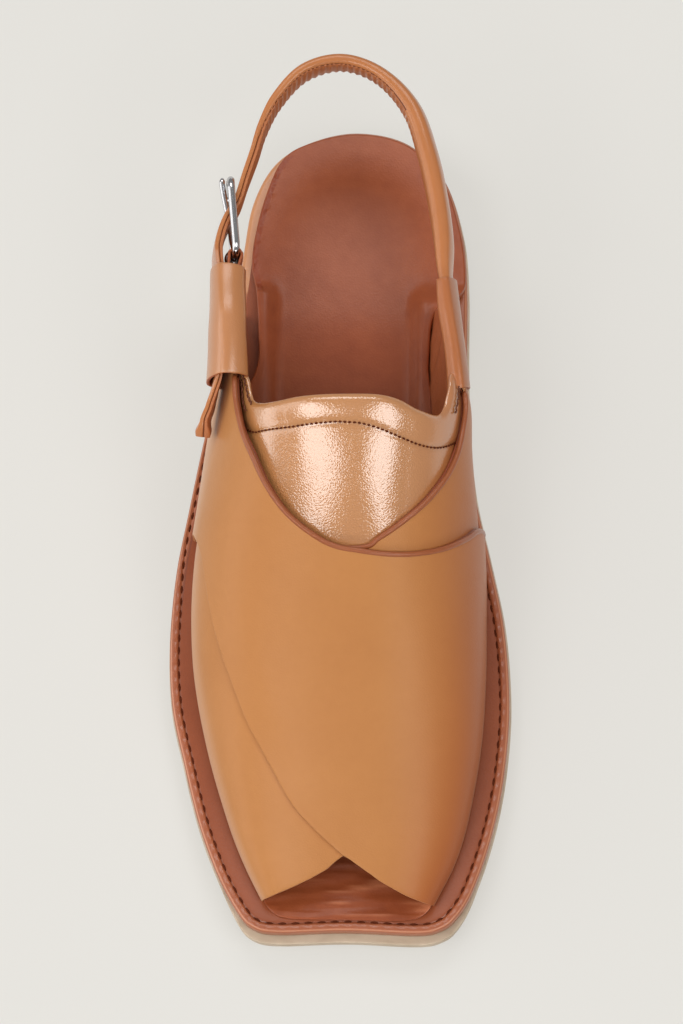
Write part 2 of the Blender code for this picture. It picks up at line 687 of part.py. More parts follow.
def strap_stations():
    """(middle, up, width, thickness) all along the strap, in x, s and z."""

    def free(rows, centre):
        """Stations in the open, leaning towards a point inside the shoe."""
        made = []
        for r in rows:
            inward = (Vector(centre) - Vector((r.x, r.s))).normalized()
            lean = math.radians(r.lean)
            up = Vector((inward.x * math.sin(lean), inward.y * math.sin(lean), math.cos(lean)))
            made.append((Vector((r.x, r.s, r.z)), up, r.width, r.thick))
        return made

    def held(rows, places, lift, width, thick):
        """Stations in a keeper."""
        made = []
        for s in places:
            middle = along_ear(rows, s, 0, lift)
            made.append((middle, (along_ear(rows, s, 4, lift) - middle).normalized(), width, thick))
        return made

    inner_end = held(INNER_KEEPER, INNER_END_HELD, INNER_END_LIFT, STRAP_WIDTH - 4, INNER_END_THICK)
    billet = held(OUTER_KEEPER, BILLET_HELD, BILLET_LIFT, BILLET_WIDTH, BILLET_THICK)
    return inner_end + free(HEEL_STRAP, HEEL_CENTRE) + billet + free(BILLET_TIP, BALL_CENTRE)


def make_heel_strap():
    """One strap: its inner end in the inner keeper, padded round the heel, through the buckle, with a hole
    for the prong, and its free end under the outer keeper."""
    rows = strap_stations()
    steps, round_off = 3, 1.2
    middles = through([r[0] for r in rows], steps)
    ups = through([r[1] for r in rows], steps)
    sizes = through([(r[2], r[3], 0) for r in rows], steps)
    rings = []
    for i, (middle, up, size) in enumerate(zip(middles, ups, sizes)):
        ahead = (middles[min(i + 1, len(middles) - 1)] - middles[max(i - 1, 0)]).normalized()
        up = (up - ahead * up.dot(ahead)).normalized()
        out = ahead.cross(up)
        half_width, half_thick = size.x / 2, size.y / 2
        soft = min(half_thick, round_off)
        profile = []
        for su, so in ((1, 1), (-1, 1), (-1, -1), (1, -1)):
            ends = [(half_width * su, (half_thick - soft) * so), ((half_width - soft) * su, half_thick * so)]
            profile += ends if su * so > 0 else ends[::-1]
        rings.append([to_row(*(middle + up * u + out * o)) for u, o in profile])
    piece = add("heel_strap", loft(rings), TAN, 50)
    back, _, out = buckle_frame_axes()
    hole = BUCKLE_FRONT + back * 13.0 + out * 1.5
    cut_away(piece, box_guide("prong_hole_guide", hole, (15.0, SLOT_WIDTH, 7.0)))
    return piece


# ---------------------------------------------------------------------------- assembly


def stand_on_origin(pieces):
    """Moves the shoe so that the middle of its box's floor is the origin."""
    bpy.context.view_layer.update()
    graph = bpy.context.evaluated_depsgraph_get()
    corners = [v.co for o in pieces for v in o.evaluated_get(graph).to_mesh().vertices]
    low = [min(c[k] for c in corners) for k in range(3)]
    high = [max(c[k] for c in corners) for k in range(3)]
    shift = Vector((-(low[0] + high[0]) / 2, -(low[1] + high[1]) / 2, -low[2]))
    for o in bpy.context.scene.objects:
        o.location += shift
    return shift


def main():
    for old in list(bpy.data.objects):
        bpy.data.objects.remove(old, do_unlink=True)
    pieces = [
        make_heel(),
        make_outsole(),
        make_midsole(),
        make_insole(),
        make_upper(),
        make_tongue(),
        make_keeper("keeper_outer", OUTER_KEEPER),
        make_keeper("keeper_inner", INNER_KEEPER),
        make_heel_strap(),
        make_buckle_chape(),
        make_buckle_frame(),
        make_buckle_prong(),
    ]
    print("shift to origin, mm:", [round(c / MM, 3) for c in stand_on_origin(pieces)])


main()
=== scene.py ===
"""Looks of a peshawari chappal, right shoe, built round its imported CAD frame.

Shapes are worked out in millimetres in the shoemaker's own coordinates, and go to row metres when a mesh is
made. On the sole these are x, across the shoe, and s, the distance forward from the back of the heel. On the
last they are s, the lift off the last, and the girth a, which runs from -1 at the outer feather edge over 0
on the ridge to +1 at the inner edge.
"""

import math
from collections import namedtuple
from functools import lru_cache

import bmesh
import bpy
from mathutils import Matrix, Vector, noise


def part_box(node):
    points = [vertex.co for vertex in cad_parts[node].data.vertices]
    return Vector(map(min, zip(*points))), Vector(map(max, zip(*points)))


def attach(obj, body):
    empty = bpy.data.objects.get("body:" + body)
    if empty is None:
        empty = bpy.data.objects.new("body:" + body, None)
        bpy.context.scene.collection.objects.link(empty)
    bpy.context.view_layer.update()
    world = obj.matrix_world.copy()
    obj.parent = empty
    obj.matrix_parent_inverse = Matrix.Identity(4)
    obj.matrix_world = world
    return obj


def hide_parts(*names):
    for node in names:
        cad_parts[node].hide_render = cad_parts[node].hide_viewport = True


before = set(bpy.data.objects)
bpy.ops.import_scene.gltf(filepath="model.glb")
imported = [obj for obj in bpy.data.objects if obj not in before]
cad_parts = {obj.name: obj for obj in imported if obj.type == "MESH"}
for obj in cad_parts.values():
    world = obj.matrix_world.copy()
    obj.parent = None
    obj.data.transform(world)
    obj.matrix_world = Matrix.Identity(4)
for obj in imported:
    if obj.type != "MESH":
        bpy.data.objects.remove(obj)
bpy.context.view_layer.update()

# ---------------------------------------------------------------------------- camera
# A long lens looks down on the shoe from in front of the toe, leaning eighteen degrees from upright, with the
# shoe a little to the left of it.

MM = 0.001
EYE = Vector((64.9, -371.8, 1161.3)) * MM
AIM = Vector((1.0, -1.0, 28.0)) * MM
TILT = math.radians(18.0)
LENS, SENSOR = 122.0, 36.0

camera_data = bpy.data.cameras.new("camera")
camera_data.lens = LENS
camera_data.sensor_fit = "VERTICAL"
camera_data.sensor_height = SENSOR
camera = bpy.data.objects.new("camera", camera_data)
bpy.context.scene.collection.objects.link(camera)
camera.location = EYE
upright = Matrix.Rotation(TILT, 3, "X")
untilted = upright @ Vector((0, 0, -1))
camera.rotation_euler = (untilted.rotation_difference(AIM - EYE).to_matrix() @ upright).to_euler()
bpy.context.scene.camera = camera
bpy.context.scene.view_settings.view_transform = "Standard"

# ---------------------------------------------------------------------------- walking sole and heel
# The outsole is a layer of natural sole leather that bends from the heel seat over the arch and tread to the
# toe spring. The heel is stacked from two lifts of the same leather on a rubber top piece.

HEEL_LIFT, HEEL_BREAST, BREAST_HOLLOW = 12.0, 68.0, 3.0
ARCH_END, TREAD_END, SOLE_LENGTH, TOE_SPRING = 165.0, 215.0, 290.0, 7.0
TOE_LEDGE, LEDGE_START, LEDGE_RUN = 2.4, 268.0, 18.0
OUTSOLE, MIDSOLE, LAYER_GAP = 4.5, 5.5, 0.3
OUTSOLE_SHELF, OUTSOLE_ROUNDS = 0.6, (1.0, 0.5)  # how far it stands out past the middle sole, and its edges
SOLE_BENDS = range(4, 290, 6)  # stations of the cuts that let the layers bend
SOLE_POINTS = [
    (4, -1.2), (-13, 2.4), (-25.5, 10.9), (-33, 26), (-36, 45), (-38.7, 68), (-43.6, 92), (-49, 115),
    (-53.6, 138), (-57.5, 160), (-59, 185), (-57.6, 208), (-53, 228), (-47, 250), (-40, 268),
    (-32.8, 281), (-27.5, 286.6), (-19, 288.4), (4, 287.6), (28, 288.4), (36.2, 286.6), (41, 282.5),
    (46, 274), (51.5, 258), (55.8, 239), (58.2, 218), (58.4, 200), (56.4, 178), (51.6, 155), (46.6, 133),
    (44.2, 110), (43.6, 85), (43.5, 58), (41.6, 38), (35.2, 17.4), (22, 3.3),
]
OUTER_MOST, HEEL_MOST = -59.0, -1.2  # of the sole's edge, in x and s
EDGE_STEPS = 720
MIDSOLE_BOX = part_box("midsole")


def to_row(x, s, z):
    """Shoemaker's x, s and z in millimetres to row metres; the toe is towards -Y."""
    low, high = MIDSOLE_BOX
    return Vector((low.x + (x - OUTER_MOST) * MM, high.y - (s - HEEL_MOST) * MM, z * MM))


def eased(t):
    """0 to 1 with flat ends."""
    t = min(1.0, max(0.0, t))
    return t * t * (3 - 2 * t)


def through(points, steps, closed=False):
    """A smooth line through a few points, with that many steps from each one to the next."""
    points = [Vector(p) for p in points]
    count = len(points)
    line = []
    for i in range(count if closed else count - 1):
        near = [i + k for k in (-1, 0, 1, 2)]
        p0, p1, p2, p3 = [points[k % count if closed else min(count - 1, max(0, k))] for k in near]
        for k in range(steps):
            t = k / steps
            square, cube = 2 * p0 - 5 * p1 + 4 * p2 - p3, 3 * p1 - p0 - 3 * p2 + p3
            line.append(0.5 * (2 * p1 + (p2 - p0) * t + square * t**2 + cube * t**3))
    return line if closed else line + [points[-1]]


def evenly(line, count, closed=False):
    """The same line as that many equal steps; an open one has a point more."""
    ends = line[1:] + line[:1] if closed else line[1:]
    lengths = [(q - p).length for p, q in zip(line, ends)]
    whole = sum(lengths)
    made, walked, mark = [], 0.0, 0
    for p, q, step in zip(line, ends, lengths):
        while mark < count and walked + step >= mark * whole / count - 1e-9:
            made.append(p.lerp(q, (mark * whole / count - walked) / max(step, 1e-9)))
            mark += 1
        walked += step
    return made if closed else made + [line[-1]]


def inset(outline, by):
    """A closed outline moved inwards. Outlines run from the heel up the outer side."""
    moved = []
    for i, p in enumerate(outline):
        along = (outline[(i + 1) % len(outline)] - outline[i - 1]).normalized()
        moved.append(p + by * Vector((along.y, -along.x)))
    return moved


SOLE_EDGE = evenly(through(SOLE_POINTS, 12, closed=True), EDGE_STEPS, closed=True)


def underside(s):
    """Height of the outsole's lower face: the heel seat, the arch, the flat tread and the toe spring."""
    if s < ARCH_END:
        return HEEL_LIFT * eased((ARCH_END - s) / (ARCH_END - HEEL_BREAST))
    return TOE_SPRING * (max(0.0, s - TREAD_END) / (SOLE_LENGTH - TREAD_END)) ** 2


def layer(outline, thick, rounds, segments=3):
    """A flat layer of leather cut to an outline, its lower and upper edges rounded. The upper face and the
    layer of values that tells how far in from the edge a point is come with it."""
    bm = bmesh.new()
    depth = bm.verts.layers.float.new("from_edge")
    face = bm.faces.new([bm.verts.new((p.x, p.y, 0)) for p in outline])
    pulled = bmesh.ops.extrude_face_region(bm, geom=[face])["geom"]
    for v in pulled:
        if isinstance(v, bmesh.types.BMVert):
            v.co.z = thick
    bmesh.ops.recalc_face_normals(bm, faces=bm.faces)
    for z, by in zip((0.0, thick), rounds):
        rim = [e for e in bm.edges if all(abs(v.co.z - z) < 1e-6 for v in e.verts)]
        bmesh.ops.bevel(bm, geom=rim, offset=by, segments=segments, profile=0.5, affect="EDGES", material=-1)
    top = max((f for f in bm.faces if f.normal.z > 0.9), key=lambda f: len(f.verts))
    for v in top.verts:
        v[depth] = rounds[1]
    return bm, top, depth


def ringed(bm, top, depth, widths):
    """Insets a face ring by ring, and writes each ring's distance from the edge on its points."""
    reached = top.verts[0][depth]
    for width in widths:
        bmesh.ops.inset_region(bm, faces=[top], thickness=width, use_even_offset=True)
        reached += width
        for v in top.verts:
            v[depth] = reached


def score(bm, places, direction):
    """Cuts right through at each place along x or s."""
    normal = Vector(direction)
    for place in places:
        everything = bm.verts[:] + bm.edges[:] + bm.faces[:]
        bmesh.ops.bisect_plane(bm, geom=everything, plane_co=normal * place, plane_no=normal, dist=1e-4)


def finished(name, bm, finishes, replaced=(), sharp=40.0):
    """Makes a bmesh a piece of the shoe, with its materials, under the root body, and hides the CAD nodes
    that it stands for.
    """
    mesh = bpy.data.meshes.new(name)
    bm.to_mesh(mesh)
    bm.free()
    mesh.shade_smooth()
    mesh.set_sharp_from_angle(angle=math.radians(sharp))
    for finish in finishes:
        mesh.materials.append(finish)
    piece = bpy.data.objects.new(name, mesh)
    bpy.context.scene.collection.objects.link(piece)
    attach(piece, "root")
    if replaced:
        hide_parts(*replaced)
    return piece


def plug(tree, node, sockets):
    """Sets a node's sockets to values, or links them to other sockets."""
    for key, value in sockets.items():
        if isinstance(value, bpy.types.NodeSocket):
            tree.links.new(value, node.inputs[key])
        else:
            node.inputs[key].default_value = value


def add_node(tree, kind, sockets=None, **settings):
    """A shader node with its settings and its sockets."""
    made = tree.nodes.new(kind)
    for key, value in settings.items():
        setattr(made, key, value)
    plug(tree, made, sockets or {})
    return made


def reckon(tree, operation, *values):
    """The result of a sum on numbers and sockets."""
    return add_node(tree, "ShaderNodeMath", dict(enumerate(values)), operation=operation).outputs[0]


def ranged(tree, value, low=0.0, high=1.0, to_low=0.0, to_high=1.0, **settings):
    """A value stretched from one range to another and held at its ends."""
    sockets = {"Value": value, "From Min": low, "From Max": high, "To Min": to_low, "To Max": to_high}
    return add_node(tree, "ShaderNodeMapRange", sockets, **settings).outputs[0]


def blend(tree, share, first, second):
    """A colour between two others, each a socket or a red, green and blue."""
    first, second = (c if isinstance(c, bpy.types.NodeSocket) else (*c, 1.0) for c in (first, second))
    mix = add_node(tree, "ShaderNodeMix", {"Factor": share, 6: first, 7: second}, data_type="RGBA")
    return mix.outputs[2]


def blotches(tree, place, scale, detail, socket="Fac"):
    """Soft blotches, that many to the metre."""
    made = add_node(tree, "ShaderNodeTexNoise", {"Vector": place, "Scale": scale, "Detail": detail})
    return made.outputs[socket]


def own_place(tree):
    """A point's place on its own piece."""
    return add_node(tree, "ShaderNodeTexCoord").outputs["Object"]


def new_finish(name):
    """An empty material, with its node tree and its shader."""
    made = bpy.data.materials.new(name)
    made.use_nodes = True
    return made, made.node_tree, made.node_tree.nodes["Principled BSDF"]


def group_tree(name, takes, gives):
    """An empty node group with named inputs and their defaults, and named outputs."""
    tree = bpy.data.node_groups.new(name, "ShaderNodeTree")
    for title, value in takes:
        kind = "NodeSocketColor" if isinstance(value, tuple) else "NodeSocketFloat"
        socket = tree.interface.new_socket(title, in_out="INPUT", socket_type=kind)
        socket.default_value = value
    for title, kind in gives:
        tree.interface.new_socket(title, in_out="OUTPUT", socket_type=kind)
    return tree, tree.nodes.new("NodeGroupInput").outputs, tree.nodes.new("NodeGroupOutput").inputs


def dressed_leather():
    """Tanned leather's surface: soft cloudy colour, and a pebbled grain of small cells with fine pores."""
    takes = [
        ("Colour", (0.5, 0.3, 0.1, 1.0)), ("Deep Colour", (0.3, 0.1, 0.05, 1.0)), ("Cloud", 0.5),
        ("Cell Scale", 1500.0), ("Gloss", 0.35), ("Gloss Change", 0.1),
    ]
    gives = [("Colour", "NodeSocketColor"), ("Roughness", "NodeSocketFloat"), ("Height", "NodeSocketFloat")]
    tree, ins, outs = group_tree("dressed_leather", takes, gives)
    place = own_place(tree)
    broad, small = blotches(tree, place, 28.0, 3.0), blotches(tree, place, 260.0, 4.0)
    both = reckon(tree, "MULTIPLY_ADD", small, 0.3, reckon(tree, "MULTIPLY", broad, 0.7))
    cloud = ranged(tree, both, 0.35, 0.68)
    tint = blend(tree, reckon(tree, "MULTIPLY", cloud, ins["Cloud"]), ins["Colour"], ins["Deep Colour"])

    bent = {0: blotches(tree, place, 900.0, 1.0, "Color"), 1: (0.0006, 0.0006, 0.0006), 2: place}
    shift = add_node(tree, "ShaderNodeVectorMath", bent, operation="MULTIPLY_ADD").outputs[0]
    grain = {"Vector": shift, "Scale": ins["Cell Scale"], "Smoothness": 0.35}
    cells = add_node(tree, "ShaderNodeTexVoronoi", grain, feature="SMOOTH_F1").outputs["Distance"]
    pebble = ranged(tree, cells, 0.1, 0.65, 1.0, 0.0)
    pores = blotches(tree, place, 4200.0, 2.0)
    change = reckon(tree, "MULTIPLY_ADD", cloud, ins["Gloss Change"], ins["Gloss"])
    tree.links.new(tint, outs["Colour"])
    tree.links.new(reckon(tree, "MULTIPLY_ADD", pebble, -0.06, change), outs["Roughness"])
    tree.links.new(reckon(tree, "MULTIPLY_ADD", pores, 0.3, pebble), outs["Height"])
    return tree


DRESSED = dressed_leather()


def leather(name, colour, deep, gloss, cell=1500.0, relief=0.05, cloud=0.5, coat=0.0, coat_rough=0.2,
            coat_index=1.5, tint=None, shine=0.35, bloom=0.0):
    """A leather finish. Relief is the grain's height in millimetres. Tint is an attribute and the further
    colours it brings, each with the value at which it is full and the value at which it is gone. Bloom is the
    pale sheen of a waxed surface along its slope."""
    made, tree, shader = new_finish(name)
    skin = add_node(tree, "ShaderNodeGroup", node_tree=DRESSED)
    plug(tree, skin, {
        "Colour": (*colour, 1.0), "Deep Colour": (*deep, 1.0), "Cloud": cloud, "Cell Scale": cell,
        "Gloss": gloss, "Gloss Change": 0.08,
    })
    shade = skin.outputs["Colour"]
    if tint:
        attribute, stops = tint
        measure = add_node(tree, "ShaderNodeAttribute", attribute_name=attribute).outputs["Fac"]
        for full, gone, further in stops:
            share = ranged(tree, measure, full, gone, 1.0, 0.0, interpolation_type="SMOOTHSTEP")
            shade = blend(tree, share, shade, further)
    grain = {"Height": skin.outputs["Height"], "Distance": relief * MM, "Strength": 1.0}
    bump = add_node(tree, "ShaderNodeBump", grain).outputs["Normal"]
    plug(tree, shader, {
        "Base Color": shade, "Roughness": skin.outputs["Roughness"], "Normal": bump,
        "Specular IOR Level": shine,
        "Coat Weight": coat, "Coat Roughness": coat_rough, "Coat IOR": coat_index,
        "Sheen Weight": bloom, "Sheen Roughness": 0.45, "Sheen Tint": (1.0, 0.80, 0.62, 1.0),
    })
    if coat:
        plug(tree, shader, {"Coat Normal": bump})
    return made


def stacked_leather(name, colour, deep):
    """The cut edge of sole leather: fibres in fine lines along the layers, under a light wax."""
    made, tree, shader = new_finish(name)
    place = own_place(tree)
    flat = add_node(tree, "ShaderNodeMapping", {"Vector": place, "Scale": (60.0, 60.0, 1400.0)}).outputs[0]
    fibres, stains = blotches(tree, flat, 1.0, 5.0), blotches(tree, place, 90.0, 3.0)
    both = reckon(tree, "MULTIPLY_ADD", fibres, 0.5, reckon(tree, "MULTIPLY", stains, 0.5))
    lines = {"Height": fibres, "Distance": 0.08 * MM, "Strength": 0.8}
    plug(tree, shader, {
        "Base Color": blend(tree, ranged(tree, both, 0.36, 0.64), colour, deep),
        "Roughness": ranged(tree, both, to_low=0.45, to_high=0.7),
        "Normal": add_node(tree, "ShaderNodeBump", lines).outputs["Normal"],
    })
    return made


NATURAL = stacked_leather("natural_sole_leather", (0.60, 0.49, 0.37), (0.44, 0.34, 0.24))
RUBBER = stacked_leather("heel_top_rubber", (0.12, 0.09, 0.07), (0.07, 0.055, 0.045))

ledged = [Vector((p.x, p.y + TOE_LEDGE * eased((p.y - LEDGE_START) / LEDGE_RUN))) for p in SOLE_EDGE]
bm, _, _ = layer(inset(ledged, -OUTSOLE_SHELF), OUTSOLE, OUTSOLE_ROUNDS)
score(bm, SOLE_BENDS, (0, 1, 0))
for v in bm.verts:
    x, s, z = v.co
    v.co = to_row(x, s, underside(s) + z)
finished("walking_sole", bm, [NATURAL], ["outsole"])

HEEL_LIFTS = [(0.0, 3.6, 0.5), (3.6, 4.1, 0.3), (7.7, 4.0, 0.3)]  # foot, thickness and rounding of each
HEEL_INSET, SEAT_END = 0.4, HEEL_BREAST - 4
seat = [p for p in inset(SOLE_EDGE, HEEL_INSET) if p.y < SEAT_END]
outer_side = sorted((p for p in seat if p.x < SOLE_EDGE[0].x), key=lambda p: p.y)
inner_side = sorted((p for p in seat if p.x >= SOLE_EDGE[0].x), key=lambda p: -p.y)
hollow = HEEL_BREAST - BREAST_HOLLOW
breast = through([(-38, HEEL_BREAST), (-16, hollow), (22, hollow), (43, HEEL_BREAST)], 6)
for number, (foot, thick, soft) in enumerate(HEEL_LIFTS):
    bm, _, _ = layer(outer_side + breast + inner_side, thick, (soft, soft), 2)
    for v in bm.verts:
        x, s, z = v.co
        v.co = to_row(x, s, foot + z)
    material = NATURAL if number else RUBBER
    finished(f"heel_lift_{number + 1}", bm, [material], ["heel_block"])

# ---------------------------------------------------------------------------- stitched rim
# The middle sole is dyed brown. Its rounded rim shows all round the shoe, and waxed thread runs in a sunk
# channel near the edge, from the outer waist round the toe to the inner waist.

CHANNEL = 3.2  # middle of the channel, in from the edge
CHANNEL_START, CHANNEL_END = 112.0, 135.0  # stations at the outer and inner waist
STITCH_PITCH, STITCH_LENGTH, STITCH_WIDTH, STITCH_HEIGHT = 4.4, 2.9, 0.95, 0.8
RIM_ROUND = 1.5
CHANNEL_DEPTH, CHANNEL_HALF, BAND_STEP, BAND_RUN = 0.6, 0.42, 0.35, 0.8
CHANNEL_SHIFT = 1.5  # towards the edge, at the outer waist
PUCKER, PUCKER_AT, PUCKER_HALF = 0.18, -0.9, 0.7  # the leather drawn in between stitches, beside the channel
WORKED_FROM, WORKED_TO = 1.4, 6.5  # the part of the rim that the channel shapes, in from the edge
RIM_WIDTHS = [0.3, 0.3, 0.3, 0.3, 0.3, 0.3, 0.3, 0.5, 0.9, 1.4]


def midsole_top(s):
    """Height of the middle sole's upper face."""
    return underside(s) + OUTSOLE + LAYER_GAP + MIDSOLE


def stitched(x, s):
    """1 where the rim carries the channel and fading to 0 behind the waist."""
    return eased((s - (CHANNEL_START if x < 0 else CHANNEL_END) + 6) / 10)


def channel_at(x, s):
    """The channel's distance in from the edge, which lessens where the rim is narrow at the outer waist."""
    return CHANNEL - (CHANNEL_SHIFT * eased((180 - s) / 34) if x < 0 else 0.0)


def bell(t):
    """1 at nought and fading on both sides."""
    return math.exp(-(t**2))


def rim_drop(d, x, s, arc):
    """How far the rim's upper face lies below its crest, at a distance in from the edge."""
    past = d - channel_at(x, s)
    channel = CHANNEL_DEPTH * bell(past / CHANNEL_HALF)
    band = BAND_STEP * eased(past / BAND_RUN)
    pucker = PUCKER * math.cos(2 * math.pi * arc / STITCH_PITCH) * bell((past - PUCKER_AT) / PUCKER_HALF)
    return stitched(x, s) * (channel + band + pucker)


# Tints by distance in from the edge: the channel is darkened as painted shade, a copper line along the crest
# is a painted highlight, and the outer side of the heel is made paler.
RIM_SHADE_AND_HIGHLIGHT_TINTS = [
    (3.0, 2.7, (0.23, 0.058, 0.022)), (1.25, 1.4, (0.50, 0.20, 0.105)), (0.95, 1.1, (0.36, 0.104, 0.041)),
    (-1.0, -0.2, (0.53, 0.235, 0.105)),
]
RIM = leather(
    "rim_leather", (0.36, 0.104, 0.041), (0.28, 0.068, 0.025), 0.36, cell=1900.0, relief=0.025, cloud=0.6,
    coat=0.45, coat_rough=0.14, tint=("from_edge", RIM_SHADE_AND_HIGHLIGHT_TINTS),
)
BAND = leather(
    "rim_band_leather", (0.295, 0.076, 0.028), (0.225, 0.052, 0.018), 0.36, cell=1300.0, relief=0.02,
    cloud=0.7, coat=0.15, coat_rough=0.22, shine=0.25,
)
THREAD = leather(
    "waxed_thread", (0.100, 0.020, 0.007), (0.060, 0.012, 0.004), 0.6, cell=3000.0, relief=0.02, shine=0.06,
)

bm, top, depth = layer(SOLE_EDGE, MIDSOLE, (0.6, RIM_ROUND), 5)
for v in bm.verts:
    v[depth] = max(0.0, v.co.z - MIDSOLE + RIM_ROUND)
ringed(bm, top, depth, RIM_WIDTHS)
for f in bm.faces:
    f.material_index = 1 if all(v[depth] > CHANNEL + 0.2 for v in f.verts) else 0
score(bm, SOLE_BENDS, (0, 1, 0))
arc_at = [0.0]
for p, q in zip(SOLE_EDGE, SOLE_EDGE[1:]):
    arc_at.append(arc_at[-1] + (q - p).length)
for v in bm.verts:
    x, s, z = v.co
    if WORKED_FROM < v[depth] < WORKED_TO:
        nearest = min(range(EDGE_STEPS), key=lambda k: (SOLE_EDGE[k].x - x) ** 2 + (SOLE_EDGE[k].y - s) ** 2)
        z -= rim_drop(v[depth], x, s, arc_at[nearest])
    # The rim is made paler on the outer side of the heel.
    v[depth] -= (v[depth] + 1.2) * eased((70 - s) / 12) * eased((-x - 4) / 8)
    v.co = to_row(x, s, underside(s) + OUTSOLE + LAYER_GAP + z)
finished("stitched_rim", bm, [RIM, BAND], ["midsole"])

at_channel = inset(SOLE_EDGE, CHANNEL)
channel_line = [p.lerp(q, channel_at(p.x, p.y) / CHANNEL) for p, q in zip(SOLE_EDGE, at_channel)]
half_way = EDGE_STEPS // 2
start = min(range(half_way), key=lambda k: abs(SOLE_EDGE[k].y - CHANNEL_START))
stop = min(range(half_way, EDGE_STEPS), key=lambda k: abs(SOLE_EDGE[k].y - CHANNEL_END))
channel_run = channel_line[start:stop]
run_length = sum((q - p).length for p, q in zip(channel_run, channel_run[1:]))
count = round(run_length / STITCH_PITCH)


def stitch(bm, place, along, up, length, width, height):
    """A thread's visible loop: a little loaf with pinched ends."""
    made = bmesh.ops.create_uvsphere(bm, u_segments=8, v_segments=6, radius=0.5)["verts"]
    across = up.cross(along).normalized()
    for v in made:
        pinch = 1 - 0.45 * (2 * abs(v.co.z)) ** 2
        offset = along * (v.co.z * length) + across * (v.co.x * width * pinch) + up * (v.co.y * height)
        v.co = to_row(*(place + offset))


THREAD_SUNK = 0.45
bm = bmesh.new()
marks = evenly(channel_run, count * 2)
for k in range(count):
    near, here, far = marks[2 * k], marks[2 * k + 1], marks[2 * k + 2]
    tangent = (far - near).normalized()
    slope = (midsole_top(far.y) - midsole_top(near.y)) / STITCH_PITCH
    along = Vector((tangent.x, tangent.y, slope)).normalized()
    up = (Vector((0, 0, 1)) - along * along.z).normalized()
    place = Vector((here.x, here.y, midsole_top(here.y) - THREAD_SUNK))
    stitch(bm, place, along, up, STITCH_LENGTH, STITCH_WIDTH, STITCH_HEIGHT)
finished("rim_stitches", bm, [THREAD])

# ---------------------------------------------------------------------------- sock
# A brown sock lining lies on the middle sole and shows behind the tongue and in the open toe. Its edges turn
# up at both sides of the waist, the heel seat is dished, and the toe end is creased.

INSOLE = 3.0
FEATHER_RISE = 0.5
LEATHER = 2.0
FIELDS = "s outer inner ridge_x ridge_z outer_square inner_square outer_swell inner_swell"
Section = namedtuple("Section", FIELDS)
LAST = [
    # outer and inner are the feather edges and ridge is the top line. Square tells how boxy a side is, and
    # swell is how far its wall stands out above the waist.
    Section(60, -31.0, 34.0, 7.5, 98.0, 3.30, 2.30, 0.6, 3.8),
    Section(75, -33.0, 34.8, 7.5, 96.0, 3.30, 2.30, 0.4, 4.2),
    Section(90, -36.6, 36.2, 7.5, 93.0, 3.80, 2.40, -4.0, 4.8),
    Section(115, -42.3, 40.4, 7.5, 88.0, 3.60, 2.60, -7.6, 5.2),
    Section(140, -46.2, 44.6, 7.5, 80.0, 2.75, 2.40, -4.0, 3.0),
    Section(160, -48.4, 46.4, 7.2, 71.0, 2.35, 2.35, 0.0, 0.8),
    Section(180, -49.2, 46.8, 6.2, 60.5, 2.40, 2.40, 0.0, 0.0),
    Section(200, -47.6, 46.5, 5.2, 50.5, 2.50, 2.50, 0.0, 0.0),
    Section(225, -42.4, 44.8, 4.5, 40.0, 2.60, 2.60, 0.0, 0.0),
    Section(250, -34.8, 40.4, 4.2, 31.5, 2.70, 2.70, 0.0, 0.0),
    Section(265, -28.6, 35.8, 4.0, 27.5, 2.80, 2.80, 0.0, 0.0),
    Section(282, -20.0, 28.6, 4.0, 24.0, 2.80, 2.80, 0.0, 0.0),
]


@lru_cache(maxsize=None)
def section(s):
    """The last's section at a station, along smooth curves through the table's rows."""
    s = min(LAST[-1].s, max(LAST[0].s, s))
    i = max(k for k in range(len(LAST) - 1) if LAST[k].s <= s)
    here, there = LAST[i], LAST[i + 1]
    span = there.s - here.s
    t = (s - here.s) / span

    def slope(k, c):
        back, ahead = LAST[max(0, k - 1)], LAST[min(len(LAST) - 1, k + 1)]
        return (ahead[c] - back[c]) / (ahead.s - back.s)

    values = []
    for c in range(len(here)):
        m, n = slope(i, c) * span, slope(i + 1, c) * span
        first = (2 * t**3 - 3 * t**2 + 1) * here[c] + (t**3 - 2 * t**2 + t) * m
        values.append(first + (3 * t**2 - 2 * t**3) * there[c] + (t**3 - t**2) * n)
    return Section(*values)


def last_form(s, a):
    """A point of the last's surface, in x, s and z."""
    row = section(round(s, 3))
    edge, square, swell = (row.inner, row.inner_square, row.inner_swell)
    if a <= 0:
        edge, square, swell = (row.outer, row.outer_square, -row.outer_swell)
    angle = math.radians(90) * (1 - min(1.0, abs(a)))
    floor = midsole_top(s) + FEATHER_RISE
    x = row.ridge_x + (edge - row.ridge_x) * math.cos(angle) ** (2 / square) + swell * math.sin(2 * angle)
    z = floor + (row.ridge_z - floor) * math.sin(angle) ** (2 / square)
    return Vector((x, s, z))


def normal_of_last(s, a):
    """Unit vector off the last."""
    step = 0.01
    inside = max(-1 + step, min(1 - step, a))
    round_it = last_form(s, inside + step) - last_form(s, inside - step)
    along_it = last_form(s + 1, inside) - last_form(s - 1, inside)
    if abs(a) > 1 - step:
        along_it.z = 0
        round_it = Vector((0, 0, -1 if a > 0 else 1))
    return round_it.cross(along_it).normalized()


def on_last(s, a, lift):
    """A point off the last, in x, s and z."""
    return last_form(s, a) + lift * normal_of_last(s, a)


